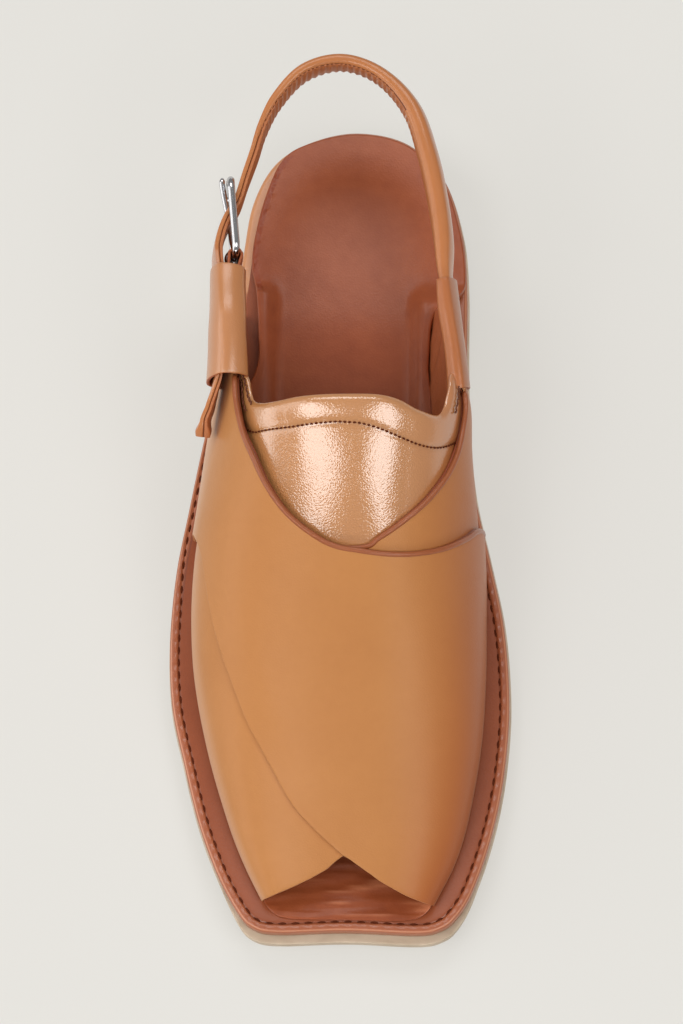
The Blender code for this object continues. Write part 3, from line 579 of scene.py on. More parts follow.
INSOLE_CLEAR = 1.0
OUTER_SWAP, INNER_SWAP = 146.0, 151.0
LIP = 3.4
SOCK_HEEL = [
    (4, 0.8), (-12.6, 4.2), (-22.5, 10.5), (-28.2, 24), (-31.8, 40), (-32.6, 52), (-30.6, 62), (-29.6, 76),
    (-30.4, 92),
]
SOCK_TOE = [
    (-27.2, 267), (-24.2, 276.4), (-20.6, 281.4), (-14.5, 283.5), (4, 283.8), (23.4, 284), (30.2, 281.8),
    (33.2, 276.8), (35.2, 267),
]
SOCK_WAIST = [
    (31.6, 100), (30.6, 84), (32.6, 71), (41.6, 62.5), (42.9, 54), (40.8, 38), (34.5, 18.6), (21.6, 5.2),
]
PAST_SWAP = 12  # this far past a swap, only one panel stands beside the sock
SKIVE_START, SKIVE_RUN, SKIVED, SKIVE_DROP = 250, 22, 0.84, 0.6
DISH, DISH_AT, DISH_HALF = 0.8, (4, 36), (20, 26)
CREASE = 0.6


def sock_outline():
    """Behind the panels it reaches the sole's edge on the inner side and leaves a ledge on the outer side. At
    the waist it stops short of the walls, and in front it follows the panels."""

    def outer(s):
        return section(s).outer - (LEATHER if s < OUTER_SWAP - PAST_SWAP else 0.0) + INSOLE_CLEAR

    def inner(s):
        return section(s).inner + (LEATHER if s > INNER_SWAP + PAST_SWAP else 0.0) - INSOLE_CLEAR

    points = SOCK_HEEL + [(outer(s), s) for s in range(116, 257, 20)] + SOCK_TOE
    points += [(inner(s), s) for s in range(256, 116, -20)] + SOCK_WAIST
    return evenly(through(points, 8, closed=True), 560, closed=True)


# The raw cut edge on the outer side of the heel seat is darker; the toe is given a faint painted shade, and
# the crests of its creases painted highlights.
SOCK_EDGE_AND_LIGHT_TINTS = [(0.8, 0.1, (0.25, 0.050, 0.018)), (-1.0, 0.0, (0.52, 0.175, 0.080))]
SOCK = leather(
    "sock_leather", (0.335, 0.082, 0.027), (0.235, 0.049, 0.015), 0.36, cell=1300.0, relief=0.02, cloud=0.9,
    coat=0.15, coat_rough=0.22, shine=0.25, tint=("raw_edge_and_painted_light", SOCK_EDGE_AND_LIGHT_TINTS),
)
bm, top, depth = layer(sock_outline(), INSOLE, (0.3, 0.7), 3)
ringed(bm, top, depth, [0.6, 0.6, 0.6])
score(bm, range(3, 245, 3), (0, 1, 0))
score(bm, range(245, 287), (0, 1, 0))
score(bm, range(-48, 52, 2), (1, 0, 0))
raw_edge_and_painted_light = bm.verts.layers.float.new("raw_edge_and_painted_light")
for v in bm.verts:
    x, s, z = v.co
    skive = eased((s - SKIVE_START) / SKIVE_RUN)
    skived = 1 - SKIVED * skive
    z *= skived
    if z > 0.5 * INSOLE * skived:
        if 0 < v[depth] < 2.2 and x < 0 and 10 < s < 62:
            v[raw_edge_and_painted_light] = 1.0
            z += 0.4 * noise.noise(Vector((x * 1.5, s * 1.5, 0.5)))
        along = eased((s - 58) / (5 if x < 0 else 10)) * eased((150 - s) / 30)
        z += LIP * along * eased((abs(x - 0.5) - 21.5) / 6.5)
        aside, behind = (x - DISH_AT[0]) / DISH_HALF[0], (s - DISH_AT[1]) / DISH_HALF[1]
        z -= DISH * math.exp(-(aside**2) - behind**2)
        # A faint painted shade on the toe end, under the panels.
        v[raw_edge_and_painted_light] = max(v[raw_edge_and_painted_light], 0.12 * eased((s - 236) / 12) * eased((283 - s) / 8))
        creased = eased((s - 244) / 10) * eased((285 - s) / 4)
        wave = noise.noise(Vector((x * 0.045, s * 0.33, 3.1)))
        wave += 0.5 * noise.noise(Vector((x * 0.11, s * 0.75, 8.2)))
        z += CREASE * creased * (wave + 0.3)
        # Painted highlights: the crests of the creases are made paler.
        v[raw_edge_and_painted_light] -= creased * eased((wave + 0.15) / 1.1)
    z -= SKIVE_DROP * skive
    v.co = to_row(x, s, midsole_top(s) + LAYER_GAP + z)
finished("sock", bm, [SOCK], ["insole"])

# ---------------------------------------------------------------------------- crossed panels
# Two wide panels of smooth tan leather, each lined, cross over the forefoot: the over panel runs from the
# inner forefoot to the outer ear, and the under panel from the outer forefoot to the inner ear. The edges of
# the collar are turned and dyed as a round bead, and the free front edges are cut.

GIRTH = 80.0  # one unit of girth laid flat
TIP_OUTER, TIP_INNER = 276.8, 277.6
PANEL_WALL, LINING_WALL = 1.15, 0.6
LINING_GAP = 1.4  # from the panel's outer face to the lining's
PANEL_SOFT = 0.32
TUCK = 0.014
SETTLE, SETTLE_START = 0.7, 150

Panel = namedtuple("Panel", "front inner collar seam feather rear ear_mouth ear_sides lift tuck settle")
# Edges as s and a. Seam is a line across the panel where two patches of its mesh meet. Tuck is how far round
# the girth the lining keeps back from the bead, and settle is how much nearer the foot the front edge lies.
OVER = Panel(
    front=[(150, -1), (154, -0.84), (163, -0.685), (179, -0.606), (194, -0.541), (208, -0.472), (221, -0.407),
           (232, -0.329), (246.9, -0.22), (256.4, -0.10), (261.4, -0.03), (264.5, 0), (266.9, 0.03),
           (270.0, 0.10), (273.5, 0.22), (277.0, 0.457), (278.4, 0.75), (TIP_INNER, 1)],
    inner=[(TIP_INNER, 1), (214, 1), (149, 1)],
    collar=[(109, -0.652), (117, -0.61), (128, -0.503), (138, -0.394), (149.1, -0.293), (158.5, -0.198),
            (164.7, -0.108), (168.0, -0.04), (169.3, 0.029), (170, 0.134), (169.2, 0.272), (166, 0.438),
            (160, 0.617), (154, 0.767), (149, 1)],
    seam=[(150, -1), (130, -0.82), (109, -0.652)],
    feather=[(150, -1), (110, -1), (70, -1)],
    rear=[(70, -1), (80, -0.97), (92, -0.925), (100, -0.865), (103, -0.795)],
    ear_mouth=[(109, -0.652), (106, -0.723), (103, -0.795)],
    ear_sides=([(109, -0.652), (96, -0.66), (84, -0.668)], [(103, -0.795), (94, -0.787), (84, -0.78)]),
    lift=4.0, tuck=-TUCK, settle=SETTLE,
)
UNDER = Panel(
    front=[(INNER_SWAP, 1), (155, 0.93), (172, 0.74), (205, 0.57), (229, 0.45), (244, 0.335), (254, 0.19),
           (261.4, 0.04), (264.4, 0), (267.4, -0.04), (269.4, -0.08), (272.4, -0.2), (275.2, -0.412),
           (277.0, -0.72), (TIP_OUTER, -1)],
    inner=[(TIP_OUTER, -1), (212, -1), (OUTER_SWAP, -1)],
    collar=[(113, 0.625), (121, 0.625), (131, 0.575), (141.7, 0.479), (152.9, 0.339), (160.8, 0.204),
            (165.7, 0.103), (168.6, 0.037), (168.6, -0.15), (166.5, -0.36), (160, -0.565), (151, -0.8),
            (OUTER_SWAP, -1)],
    seam=[(INNER_SWAP, 1), (132, 0.82), (113, 0.625)],
    feather=[(INNER_SWAP, 1), (110, 1), (72, 1)],
    rear=[(72, 1), (84, 0.97), (94, 0.92), (101, 0.86), (105, 0.785)],
    ear_mouth=[(113, 0.625), (109.5, 0.71), (105, 0.785)],
    ear_sides=([(113, 0.625), (98, 0.61), (86, 0.60)], [(105, 0.785), (96, 0.755), (86, 0.72)]),
    lift=2.0, tuck=TUCK, settle=0.0,
)
PANELS = (("under", UNDER), ("over", OVER))


class Run:
    """A smooth line through (s, a) points, laid flat and walked by its length."""

    def __init__(self, points):
        self.line = through([Vector((s, a * GIRTH)) for s, a in points], 10)
        self.marks = [0.0]
        for p, q in zip(self.line, self.line[1:]):
            self.marks.append(self.marks[-1] + (q - p).length)
        self.length = self.marks[-1]

    def at(self, t):
        """The point at a share of the length."""
        walked = min(1.0, max(0.0, t)) * self.length
        i = max(1, next((k for k, mark in enumerate(self.marks) if mark >= walked), len(self.marks) - 1))
        share = (walked - self.marks[i - 1]) / max(1e-9, self.marks[i] - self.marks[i - 1])
        return self.line[i - 1].lerp(self.line[i], share)

    def nearest(self, point):
        """The point of the line that lies nearest to a flat point."""
        best = self.line[0]
        for p, q in zip(self.line, self.line[1:]):
            t = max(0.0, min(1.0, (point - p).dot(q - p) / max(1e-9, (q - p).length_squared)))
            best = min(best, p.lerp(q, t), key=lambda spot: (point - spot).length_squared)
        return best

    def distance(self, point):
        return (point - self.nearest(point)).length


def patch(bm, low, high, left, right, across, along, place):
    """A grid stretched between four runs: low and high go from left to right, left and right from low to
    high."""
    made = bmesh.ops.create_grid(bm, x_segments=across, y_segments=along, size=0.5)["verts"]
    lows = [low.at(k / across) for k in range(across + 1)]
    highs = [high.at(k / across) for k in range(across + 1)]
    lefts = [left.at(k / along) for k in range(along + 1)]
    rights = [right.at(k / along) for k in range(along + 1)]
    for v in made:
        u, w = v.co.x + 0.5, v.co.y + 0.5
        i, j = round(u * across), round(w * along)
        sides = lows[i] * (1 - w) + highs[i] * w + lefts[j] * (1 - u) + rights[j] * u
        corners = (lows[0] * (1 - u) + lows[-1] * u) * (1 - w) + (highs[0] * (1 - u) + highs[-1] * u) * w
        flat = sides - corners
        place(v, flat.x, flat.y / GIRTH)


def stand_off(s, a):
    """How far the inner ear's root stands off the foot."""
    return 1.5 * bell((s - 114) / 9) * eased((a - 0.5) / 0.1)


def creases(s, a):
    """Small hollows where the forefoot flexes, with the inner ear's stand-off, in millimetres of lift."""
    return 0.22 * noise.noise(Vector((s * 0.035, a * 3.1, 7.7))) + stand_off(s, a)


def tucked(s, tuck):
    """A lining's shift in girth in the ear, where it keeps back from the bead."""
    return tuck * eased((136 - s) / 10)


def face_towards(bm, direction):
    """Turns all the faces of an open sheet to one side."""
    bmesh.ops.recalc_face_normals(bm, faces=bm.faces)
    if sum(f.normal.dot(direction) * f.calc_area() for f in bm.faces) < 0:
        bmesh.ops.reverse_faces(bm, faces=bm.faces)


def walled(piece, thick, soft=0.0, segments=2, inside=1, rim=2):
    """Gives a sheet its thickness and soft edges, with other materials inside and on the rim."""
    wall = piece.modifiers.new("wall", "SOLIDIFY")
    wall.thickness = thick * MM
    wall.offset = -1
    wall.material_offset = inside
    wall.material_offset_rim = rim
    if soft:
        rounding = piece.modifiers.new("rounding", "BEVEL")
        rounding.width = soft * MM
        rounding.segments = segments
        rounding.limit_method = "ANGLE"
        rounding.angle_limit = math.radians(55)


PANEL_ACROSS, PANEL_ALONG, MOUTH_STEPS, EAR_STEPS = 110, 60, 8, 12


def panel_sheet(name, panel, lift, thick, finishes, replaced=(), tuck=0.0):
    """One sheet of a panel: the wide patch, the quarter behind the seam and the ear, as one walled skin."""
    bm = bmesh.new()
    round_foot = bm.verts.layers.float.new("round_foot")
    front, inner, collar, seam = Run(panel.front), Run(panel.inner), Run(panel.collar), Run(panel.seam)
    feather, rear, ear_mouth = Run(panel.feather), Run(panel.rear), Run(panel.ear_mouth)
    upper_side, lower_side = Run(panel.ear_sides[0]), Run(panel.ear_sides[1])
    ear_end = Run([panel.ear_sides[0][-1], panel.ear_sides[1][-1]])

    def place(v, s, a):
        settled = 0.0
        if panel.settle and s > SETTLE_START:
            near_front = eased(1 - front.distance(Vector((s, a * GIRTH))) / 16)
            settled = panel.settle * eased((s - SETTLE_START) / 24) * near_front
        a = max(-1.0, min(1.0, a + tucked(s, tuck)))
        v.co = to_row(*on_last(s, a, lift + creases(s, a) - settled))
        v[round_foot] = a

    patch(bm, front, collar, seam, inner, PANEL_ACROSS, PANEL_ALONG, place)
    patch(bm, feather, ear_mouth, seam, rear, MOUTH_STEPS, PANEL_ALONG, place)
    patch(bm, ear_mouth, ear_end, upper_side, lower_side, MOUTH_STEPS, EAR_STEPS, place)
    bmesh.ops.remove_doubles(bm, verts=bm.verts, dist=0.02 * MM)
    face_towards(bm, Vector((0, 0, 1)))
    walled(finished(name, bm, finishes, replaced, 60), thick, PANEL_SOFT)


# Painted shade: the inner side of the panels is darker and redder. Painted reflection: a pale strip along the
# outer feather edge.
TAN_SHADE_AND_REFLECTION_TINTS = [(0.95, 0.1, (0.37, 0.098, 0.028)), (-0.93, -0.70, (0.58, 0.33, 0.20))]
TAN = leather(
    "tan_panel_leather", (0.465, 0.199, 0.065), (0.41, 0.167, 0.053), 0.42, cell=1700.0, relief=0.024,
    cloud=0.55, coat=0.18, coat_rough=0.3, tint=("round_foot", TAN_SHADE_AND_REFLECTION_TINTS), shine=0.08, bloom=0.15,
)
LINING = leather("panel_lining", (0.30, 0.085, 0.030), (0.23, 0.060, 0.022), 0.45, cell=1200.0, relief=0.04)
CUT_EDGE = leather("dyed_edge", (0.36, 0.095, 0.030), (0.27, 0.062, 0.020), 0.42, cell=2500.0, relief=0.04)
PANEL_EDGE = leather("panel_edge", (0.52, 0.235, 0.098), (0.46, 0.195, 0.078), 0.42, cell=2500.0, relief=0.03)

for name, panel in PANELS:
    panel_sheet(
        f"{name}_panel", panel, panel.lift, PANEL_WALL, [TAN, LINING, PANEL_EDGE], ["upper"],
    )
    panel_sheet(
        f"{name}_lining", panel, panel.lift - LINING_GAP, LINING_WALL, [LINING, LINING, CUT_EDGE],
        tuck=panel.tuck,
    )


def swept(frames, around, outline, closed=False, finish=None):
    """A skin swept along frames of (middle, out, up). Outline(i, k) gives point k of the section at frame i,
    and finish(i, k) the number of the material after it."""
    steps = len(frames) if closed else len(frames) - 1
    bm = bmesh.new()
    grid = bmesh.ops.create_grid(bm, x_segments=steps, y_segments=around, size=0.5)["verts"]
    if finish:
        for f in bm.faces:
            here = f.calc_center_median()
            f.material_index = finish(int((here.x + 0.5) * steps), int((here.y + 0.5) * around))
    for v in grid:
        i, k = round((v.co.x + 0.5) * steps) % len(frames), round((v.co.y + 0.5) * around) % around
        centre, out, up = frames[i]
        sideways, upwards = outline(i, k)
        v.co = to_row(*(centre + out * sideways + up * upwards))
    bmesh.ops.remove_doubles(bm, verts=bm.verts, dist=1e-7)
    bmesh.ops.holes_fill(bm, edges=[e for e in bm.edges if e.is_boundary])
    bmesh.ops.recalc_face_normals(bm, faces=bm.faces)
    return bm


BEAD_STEP, BEAD_AROUND = 1.2, 12
BEAD_SUNK, BEAD_RADIUS = 0.55, 0.95
LINING_BEAD_SUNK, LINING_BEAD_RADIUS = 2.0, 0.72


def bead(name, run, lift, radius, finish, tuck=0.0):
    """A round bead along a run on the last."""
    count = round(run.length / BEAD_STEP)
    flats = [run.at(k / count) for k in range(count + 1)]
    flats = [Vector((p.x, p.y + tucked(p.x, tuck) * GIRTH)) for p in flats]
    places = [on_last(p.x, p.y / GIRTH, lift + creases(p.x, p.y / GIRTH)) for p in flats]
    frames = []
    for k, p in enumerate(flats):
        up = normal_of_last(p.x, p.y / GIRTH)
        ahead = (places[min(count, k + 1)] - places[max(0, k - 1)]).normalized()
        frames.append((places[k], ahead.cross(up).normalized(), up))
    def outline(i, k):
        turn = 2 * math.pi * k / BEAD_AROUND
        size = radius * (1 + 0.06 * noise.noise(Vector((i * 0.45, k * 0.9, lift))))
        size *= min(1.0, (min(i, count - i) + 0.6) / 1.6) ** 0.5
        return size * math.cos(turn), size * math.sin(turn)

    finished(name, swept(frames, BEAD_AROUND, outline), [finish], sharp=80)


BEAD = leather(
    "turned_edge", (0.31, 0.088, 0.029), (0.24, 0.059, 0.018), 0.32, cell=2200.0, relief=0.03, coat=0.2,
)
LINING_BEAD = leather(
    "lining_edge", (0.24, 0.052, 0.017), (0.17, 0.036, 0.012), 0.36, cell=2200.0, relief=0.03,
)
for name, panel in PANELS:
    collar = Run(panel.collar)
    bead(f"{name}_bead", collar, panel.lift - BEAD_SUNK, BEAD_RADIUS, BEAD)
    lining_lift = panel.lift - LINING_BEAD_SUNK
    bead(f"{name}_lining_bead", collar, lining_lift, LINING_BEAD_RADIUS, LINING_BEAD, panel.tuck)

# The inner wall's lining leans out from the sock to the inner keeper.
WALL_FOOT = [(31.4, 70.5, 25.2), (30.4, 80, 25.6), (30.4, 92, 25.8), (31.0, 104, 25.6), (32.6, 116, 25.0)]
WALL_HEAD = [(35.2, 73, 61), (36.4, 82, 61), (37.4, 92, 60), (38.6, 104, 58), (40.0, 116, 56)]
WALL_STEPS, WALL_RISE = 40, 24
WALL_THICK, WALL_SWELL, WALL_WRINKLE = 0.7, 1.6, 0.7
foot, head = evenly(through(WALL_FOOT, 8), WALL_STEPS), evenly(through(WALL_HEAD, 8), WALL_STEPS)
bm = bmesh.new()
for v in bmesh.ops.create_grid(bm, x_segments=WALL_STEPS, y_segments=WALL_RISE, size=0.5)["verts"]:
    u, w = v.co.x + 0.5, v.co.y + 0.5
    p = foot[round(u * WALL_STEPS)].lerp(head[round(u * WALL_STEPS)], w)
    wrinkle = noise.noise(Vector((p.y * 0.16 + p.z * 0.10, p.z * 0.05, 1.7)))
    p.x += WALL_SWELL * math.sin(math.pi * w) + WALL_WRINKLE * wrinkle
    v.co = to_row(*p)
face_towards(bm, Vector((-1, 0, 0)))
# A paler copy of the panel lining, painted light on the shaded inner wall.
WALL_LINING_LIGHTENED = leather("wall_lining", (0.44, 0.125, 0.045), (0.33, 0.085, 0.030), 0.42, relief=0.04, coat=0.2)
inner_wall = finished("inner_wall_lining", bm, [WALL_LINING_LIGHTENED], sharp=60)
walled(inner_wall, WALL_THICK, inside=0, rim=0)

# ---------------------------------------------------------------------------- tongue
# The instep piece under the crossed panels, of glossier tan leather. Its scalloped top edge is folded over a
# soft filling and stitched below the fold, and a crease runs down its middle.

TONGUE_CLEAR = 0.6
TONGUE_TOP = [
    (98, -0.765), (104, -0.67), (110, -0.622), (118, -0.555), (121.2, -0.444), (122.4, -0.29), (122.1, -0.13),
    (121.7, 0.0), (121.9, 0.10), (123.0, 0.19), (124.9, 0.29), (124.8, 0.42), (121.2, 0.49), (116, 0.528),
    (110, 0.56), (105, 0.62), (101, 0.75),
]
FOLD_LINE = [
    (118, -0.70), (126.6, -0.565), (129.9, -0.475), (130.8, -0.398), (131.6, -0.21), (131.0, -0.072),
    (130.8, -0.009), (132.3, 0.072), (134.8, 0.19), (136.1, 0.302), (135.3, 0.416), (132.2, 0.527),
    (128, 0.62), (118, 0.72),
]
FOLD_PITCH, FOLD_STITCH, FOLD_RISE = 1.6, (1.2, 0.75, 0.6), 0.55  # a stitch is length, width and height
CROWN_HALF, CROWN_RISE = 19.0, 1.6  # the crease down the middle, along the girth and up
CROWN_AT, CROWN_SOFT = -0.8, 1.6
PLUMP, TURN_DOWN, TURN_RUN, SEAM_DEPTH, SEAM_HALF = 0.75, 1.3, 2.0, 0.3, 0.6
OUTER_WING, INNER_WING = 1.5, 0.9  # how far the wings lie up in the ears
WING_SEAMS = [
    [(108, -0.645), (113, -0.610), (117.5, -0.572), (120.5, -0.52)],
    [(108, -0.668), (114, -0.632), (119, -0.594), (122.5, -0.545)],
    [(110.5, 0.602), (114, 0.583), (118, 0.566), (122, 0.545)],
]
WING_PITCH, WING_STITCH, WING_RISE, WING_SKEW = 1.15, (1.7, 0.75, 0.7), 0.6, 0.8
TONGUE_THICK, TONGUE_SOFT, TONGUE_ACROSS, TONGUE_ALONG = 1.5, 0.55, 110, 80
tongue_top = Run(TONGUE_TOP)
tongue_edge = Run(TONGUE_TOP[1:-1])
fold_line = Run(FOLD_LINE)
tongue_foot = Run([(190, -0.42), (190, 0), (190, 0.42)])
tongue_outer = Run([(190, -0.42), (160, -0.56), (134, -0.7), (112, -0.765), (98, -0.765)])
tongue_inner = Run([(190, 0.42), (160, 0.60), (134, 0.71), (112, 0.755), (101, 0.75)])


def tongue_lift(s, a):
    """The fold is plump and turns down at the edge, the stitch line is sunk, and the wings lie up in the
    ears."""
    flat = Vector((s, a * GIRTH))
    to_edge, to_seam = tongue_edge.distance(flat), fold_line.distance(flat)
    folded = s < 116 or s < fold_line.nearest(flat).x
    share = to_edge / max(0.1, to_edge + to_seam)
    plump = PLUMP * math.sin(math.pi * (0.12 + 0.88 * share)) ** 0.7 if folded and share < 1 else 0.0
    turned = TURN_DOWN * (1 - min(1.0, to_edge / TURN_RUN)) ** 2 * (1 - 0.8 * eased((118 - s) / 8))
    channel = SEAM_DEPTH * bell(to_seam / SEAM_HALF)
    wing = (OUTER_WING if a < 0 else INNER_WING) * eased((abs(a) - 0.54) / 0.06) * eased((113 - s) / 8)
    aside = math.hypot(a * GIRTH - CROWN_AT, CROWN_SOFT) / CROWN_HALF
    crown = CROWN_RISE * max(0.0, 1 - aside) * (1 - 0.5 * eased((s - 150) / 25))
    return -TONGUE_CLEAR + plump - turned - channel + wing + crown + 0.85 * stand_off(s, a)


# The tongue's inner side is darker, as painted shade.
TONGUE_TAN = leather(
    "tongue_leather", (0.49, 0.214, 0.073), (0.44, 0.180, 0.060), 0.38, cell=1500.0, relief=0.031, cloud=0.45,
    coat=1.0, coat_rough=0.11, coat_index=1.95, tint=("round_foot", [(0.75, 0.15, (0.44, 0.155, 0.050))]),
)
bm = bmesh.new()
round_foot = bm.verts.layers.float.new("round_foot")


def place_tongue(v, s, a):
    """Puts a point of the sheet on the last."""
    v.co = to_row(*on_last(s, a, tongue_lift(s, a)))
    v[round_foot] = a


sides = (tongue_foot, tongue_top, tongue_outer, tongue_inner)
patch(bm, *sides, TONGUE_ACROSS, TONGUE_ALONG, place_tongue)
face_towards(bm, Vector((0, 0, 1)))
tongue = finished("tongue_leather", bm, [TONGUE_TAN, LINING], ["tongue"], 70)
walled(tongue, TONGUE_THICK, TONGUE_SOFT, 3, rim=0)


def sewn(bm, run, pitch, thread, rise, skew=0.0):
    """Stitches along a run on the tongue, that far above it; skewed ones zig and zag."""
    steps = 300
    flats = [run.at(k / steps) for k in range(steps + 1)]
    path = [on_last(p.x, p.y / GIRTH, tongue_lift(p.x, p.y / GIRTH) + rise) for p in flats]
    count = round(sum((q - p).length for p, q in zip(path, path[1:])) / pitch)
    spots = evenly(path, count * 2)
    for k in range(count):
        near, here, far = spots[2 * k], spots[2 * k + 1], spots[2 * k + 2]
        flat = flats[min(range(steps + 1), key=lambda j: (path[j] - here).length_squared)]
        up = normal_of_last(flat.x, flat.y / GIRTH)
        along = (far - near).normalized()
        along = (along + skew * (1 if k % 2 else -1) * up.cross(along)).normalized()
        stitch(bm, here, along, up, *thread)


WING_THREAD = leather(
    "wing_thread", (0.13, 0.035, 0.013), (0.09, 0.022, 0.008), 0.6, cell=3000.0, relief=0.02,
)
bm = bmesh.new()
sewn(bm, fold_line, FOLD_PITCH, FOLD_STITCH, FOLD_RISE)
finished("tongue_stitches", bm, [THREAD])
bm = bmesh.new()
for seam in WING_SEAMS:
    sewn(bm, Run(seam), WING_PITCH, WING_STITCH, WING_RISE, WING_SKEW)
finished("wing_stitches", bm, [WING_THREAD])

# ---------------------------------------------------------------------------- keepers
# Sleeves of tan leather, lined with brown, wrapped round the two ears. The outer one also holds the buckle's
# chape and the strap's free end, and the inner one the strap's fixed end.

Keeper = namedtuple("Keeper", "s a low high half_width")
# a is the girth at the ear's middle, and low and high are the lifts that the keeper encloses.
OUTER_KEEPER = (
    Keeper(71.5, -0.727, 1.6, 11.4, 8.4),
    Keeper(80.0, -0.718, 1.2, 10.8, 8.2),
    Keeper(92.0, -0.712, 1.0, 10.6, 8.0),
    Keeper(101.0, -0.706, 0.2, 10.1, 7.8),
    Keeper(109.8, -0.700, -0.9, 9.8, 7.5),
)
INNER_KEEPER = (
    Keeper(76.0, 0.646, 1.0, 4.5, 8.4),
    Keeper(86.0, 0.652, 0.0, 4.7, 8.2),
    Keeper(98.0, 0.668, -0.3, 4.3, 8.0),
    Keeper(112.5, 0.690, -2.2, 3.2, 8.2),
)
KEEPER_WALL, KEEPER_CORNER, KEEPER_SOFT = 1.2, 5.6, 0.35
KEEPER_AROUND, KEEPER_ALONG = 56, 30
KEEPER_SLANT = 4.5


@lru_cache(maxsize=None)
def column(rows, field):
    """A smooth line through a column of a keeper's table."""
    return through([(row.s, getattr(row, field)) for row in rows], 24)


def between(rows, field, s):
    """A column of a keeper's table at a station."""
    line = column(rows, field)
    for p, q in zip(line, line[1:]):
        if s <= q.x:
            return p.lerp(q, max(0.0, s - p.x) / (q.x - p.x)).y
    return line[-1].y


def girth_scale(s, a):
    """Millimetres round the last for a unit of girth."""
    step = 0.02
    return (last_form(s, a + step) - last_form(s, a - step)).length / (2 * step)


def along_ear(rows, s, up, lift):
    """A point by a keeper: up is the distance towards the ridge from the ear's middle line."""
    a = between(rows, "a", s)
    a -= up / girth_scale(s, a) * (1 if a > 0 else -1)
    return on_last(s, a, lift)


def rounded_box(half_out, half_up, soft, around):
    """Points round a box section with soft corners, as (out, up)."""
    points = []
    for k in range(around):
        turn = 2 * math.pi * k / around
        c, n = math.cos(turn), math.sin(turn)
        stretch_out = max(-1.0, min(1.0, 1.4 * c))
        stretch_up = max(-1.0, min(1.0, 1.4 * n))
        points.append(((half_out - soft) * stretch_out + soft * c, (half_up - soft) * stretch_up + soft * n))
    return points


def keeper(name, rows, finish, replaced, slant):
    """The lower side of a slanted keeper stands further back."""
    bm = bmesh.new()
    grid = bmesh.ops.create_grid(bm, x_segments=KEEPER_ALONG, y_segments=KEEPER_AROUND, size=0.5)["verts"]
    for v in grid:
        s = rows[0].s + (rows[-1].s - rows[0].s) * (v.co.x + 0.5)
        low, high, half = (between(rows, field, s) for field in ("low", "high", "half_width"))
        half_out = (high - low) / 2 + KEEPER_WALL
        corner = min(KEEPER_CORNER, half_out - 0.1)
        outline = rounded_box(half_out, half + KEEPER_WALL, corner, KEEPER_AROUND)
        lift, up = outline[round((v.co.y + 0.5) * KEEPER_AROUND) % KEEPER_AROUND]
        v.co = to_row(*along_ear(rows, s - slant * (half - up) / (2 * half), up, (high + low) / 2 + lift))
    bmesh.ops.remove_doubles(bm, verts=bm.verts, dist=1e-7)
    bmesh.ops.recalc_face_normals(bm, faces=bm.faces)
    centre = sum((v.co for v in bm.verts), Vector()) / len(bm.verts)
    if sum(f.normal.dot(f.calc_center_median() - centre) for f in bm.faces) < 0:
        bmesh.ops.reverse_faces(bm, faces=bm.faces)
    sleeve = finished(name, bm, [finish, LINING, CUT_EDGE], [replaced], 60)
    walled(sleeve, KEEPER_WALL, KEEPER_SOFT)


OUTER_TAN = leather(
    "outer_keeper_leather", (0.47, 0.190, 0.065), (0.42, 0.160, 0.054), 0.38, cell=2000.0, relief=0.02,
    coat=0.7, coat_rough=0.24, coat_index=1.7,
)
# The same leather as the outer keeper, made darker as painted shade on the inner side.
INNER_TAN_SHADED = leather(
    "inner_keeper_leather", (0.40, 0.135, 0.047), (0.33, 0.102, 0.034), 0.38, cell=2000.0, relief=0.02,
    coat=0.45, coat_rough=0.2, shine=0.15,
)
keeper("outer_keeper", OUTER_KEEPER, OUTER_TAN, "keeper_outer", 0.0)
keeper("inner_keeper", INNER_KEEPER, INNER_TAN_SHADED, "keeper_inner", KEEPER_SLANT)

# ---------------------------------------------------------------------------- buckle
# A bent nickel-plated rod with a round back bar, a prong on its front bar, and a leather chape folded round
# that bar and held in the outer keeper.

BUCKLE_FRONT = Vector((-35.0, 66.0, 66.6))
BUCKLE_BACK = Vector((-35.6, 39.6, 68.6))
BUCKLE_LEAN, BUCKLE_HALF_HEIGHT, BUCKLE_CORNER, BUCKLE_BULGE = 7.0, 9.0, 3.5, 1.6
ROD, PRONG, CHAPE = 1.3, 1.0, 1.1
CHAPE_LIFTS, CHAPE_LEG, CHAPE_HALF_WIDTH = (5.1, 6.5), (98, 89, 80), 6.2
PRONG_RISE = [(0.25, 0.9), (0.5, 1.8), (0.75, 3.1), (1.0, 4.2), (1.1, 4.2)]

CORNER_STEPS, BAR_STEPS, RING_STEPS, PRONG_STEPS = 8, 8, 96, 70
CHAPE_CORNER, CHAPE_STEPS, CHAPE_AROUND = 0.4, 60, 24
BULGE_START = 2.0  # in front of the buckle's middle; behind there it rises off the strap

buckle_back = (BUCKLE_BACK - BUCKLE_FRONT).normalized()
leaning = Vector((math.sin(math.radians(BUCKLE_LEAN)), 0, math.cos(math.radians(BUCKLE_LEAN))))
buckle_up = (leaning - buckle_back * leaning.dot(buckle_back)).normalized()
buckle_out = buckle_back.cross(buckle_up)
buckle_out = buckle_out if buckle_out.x < 0 else -buckle_out


def plated(name, colour, deep):
    """Bright plating with faint clouds in its polish."""
    made, tree, shader = new_finish(name)
    cloud = blotches(tree, own_place(tree), 500.0, 4.0)
    ripple = add_node(tree, "ShaderNodeBump", {"Height": cloud, "Distance": 0.01 * MM})
    plug(tree, shader, {
        "Base Color": blend(tree, cloud, colour, deep), "Metallic": 1.0,
        "Roughness": ranged(tree, cloud, to_low=0.05, to_high=0.2), "Normal": ripple.outputs["Normal"],
    })
    return made


NICKEL = plated("nickel_plate", (0.66, 0.66, 0.68), (0.42, 0.42, 0.44))


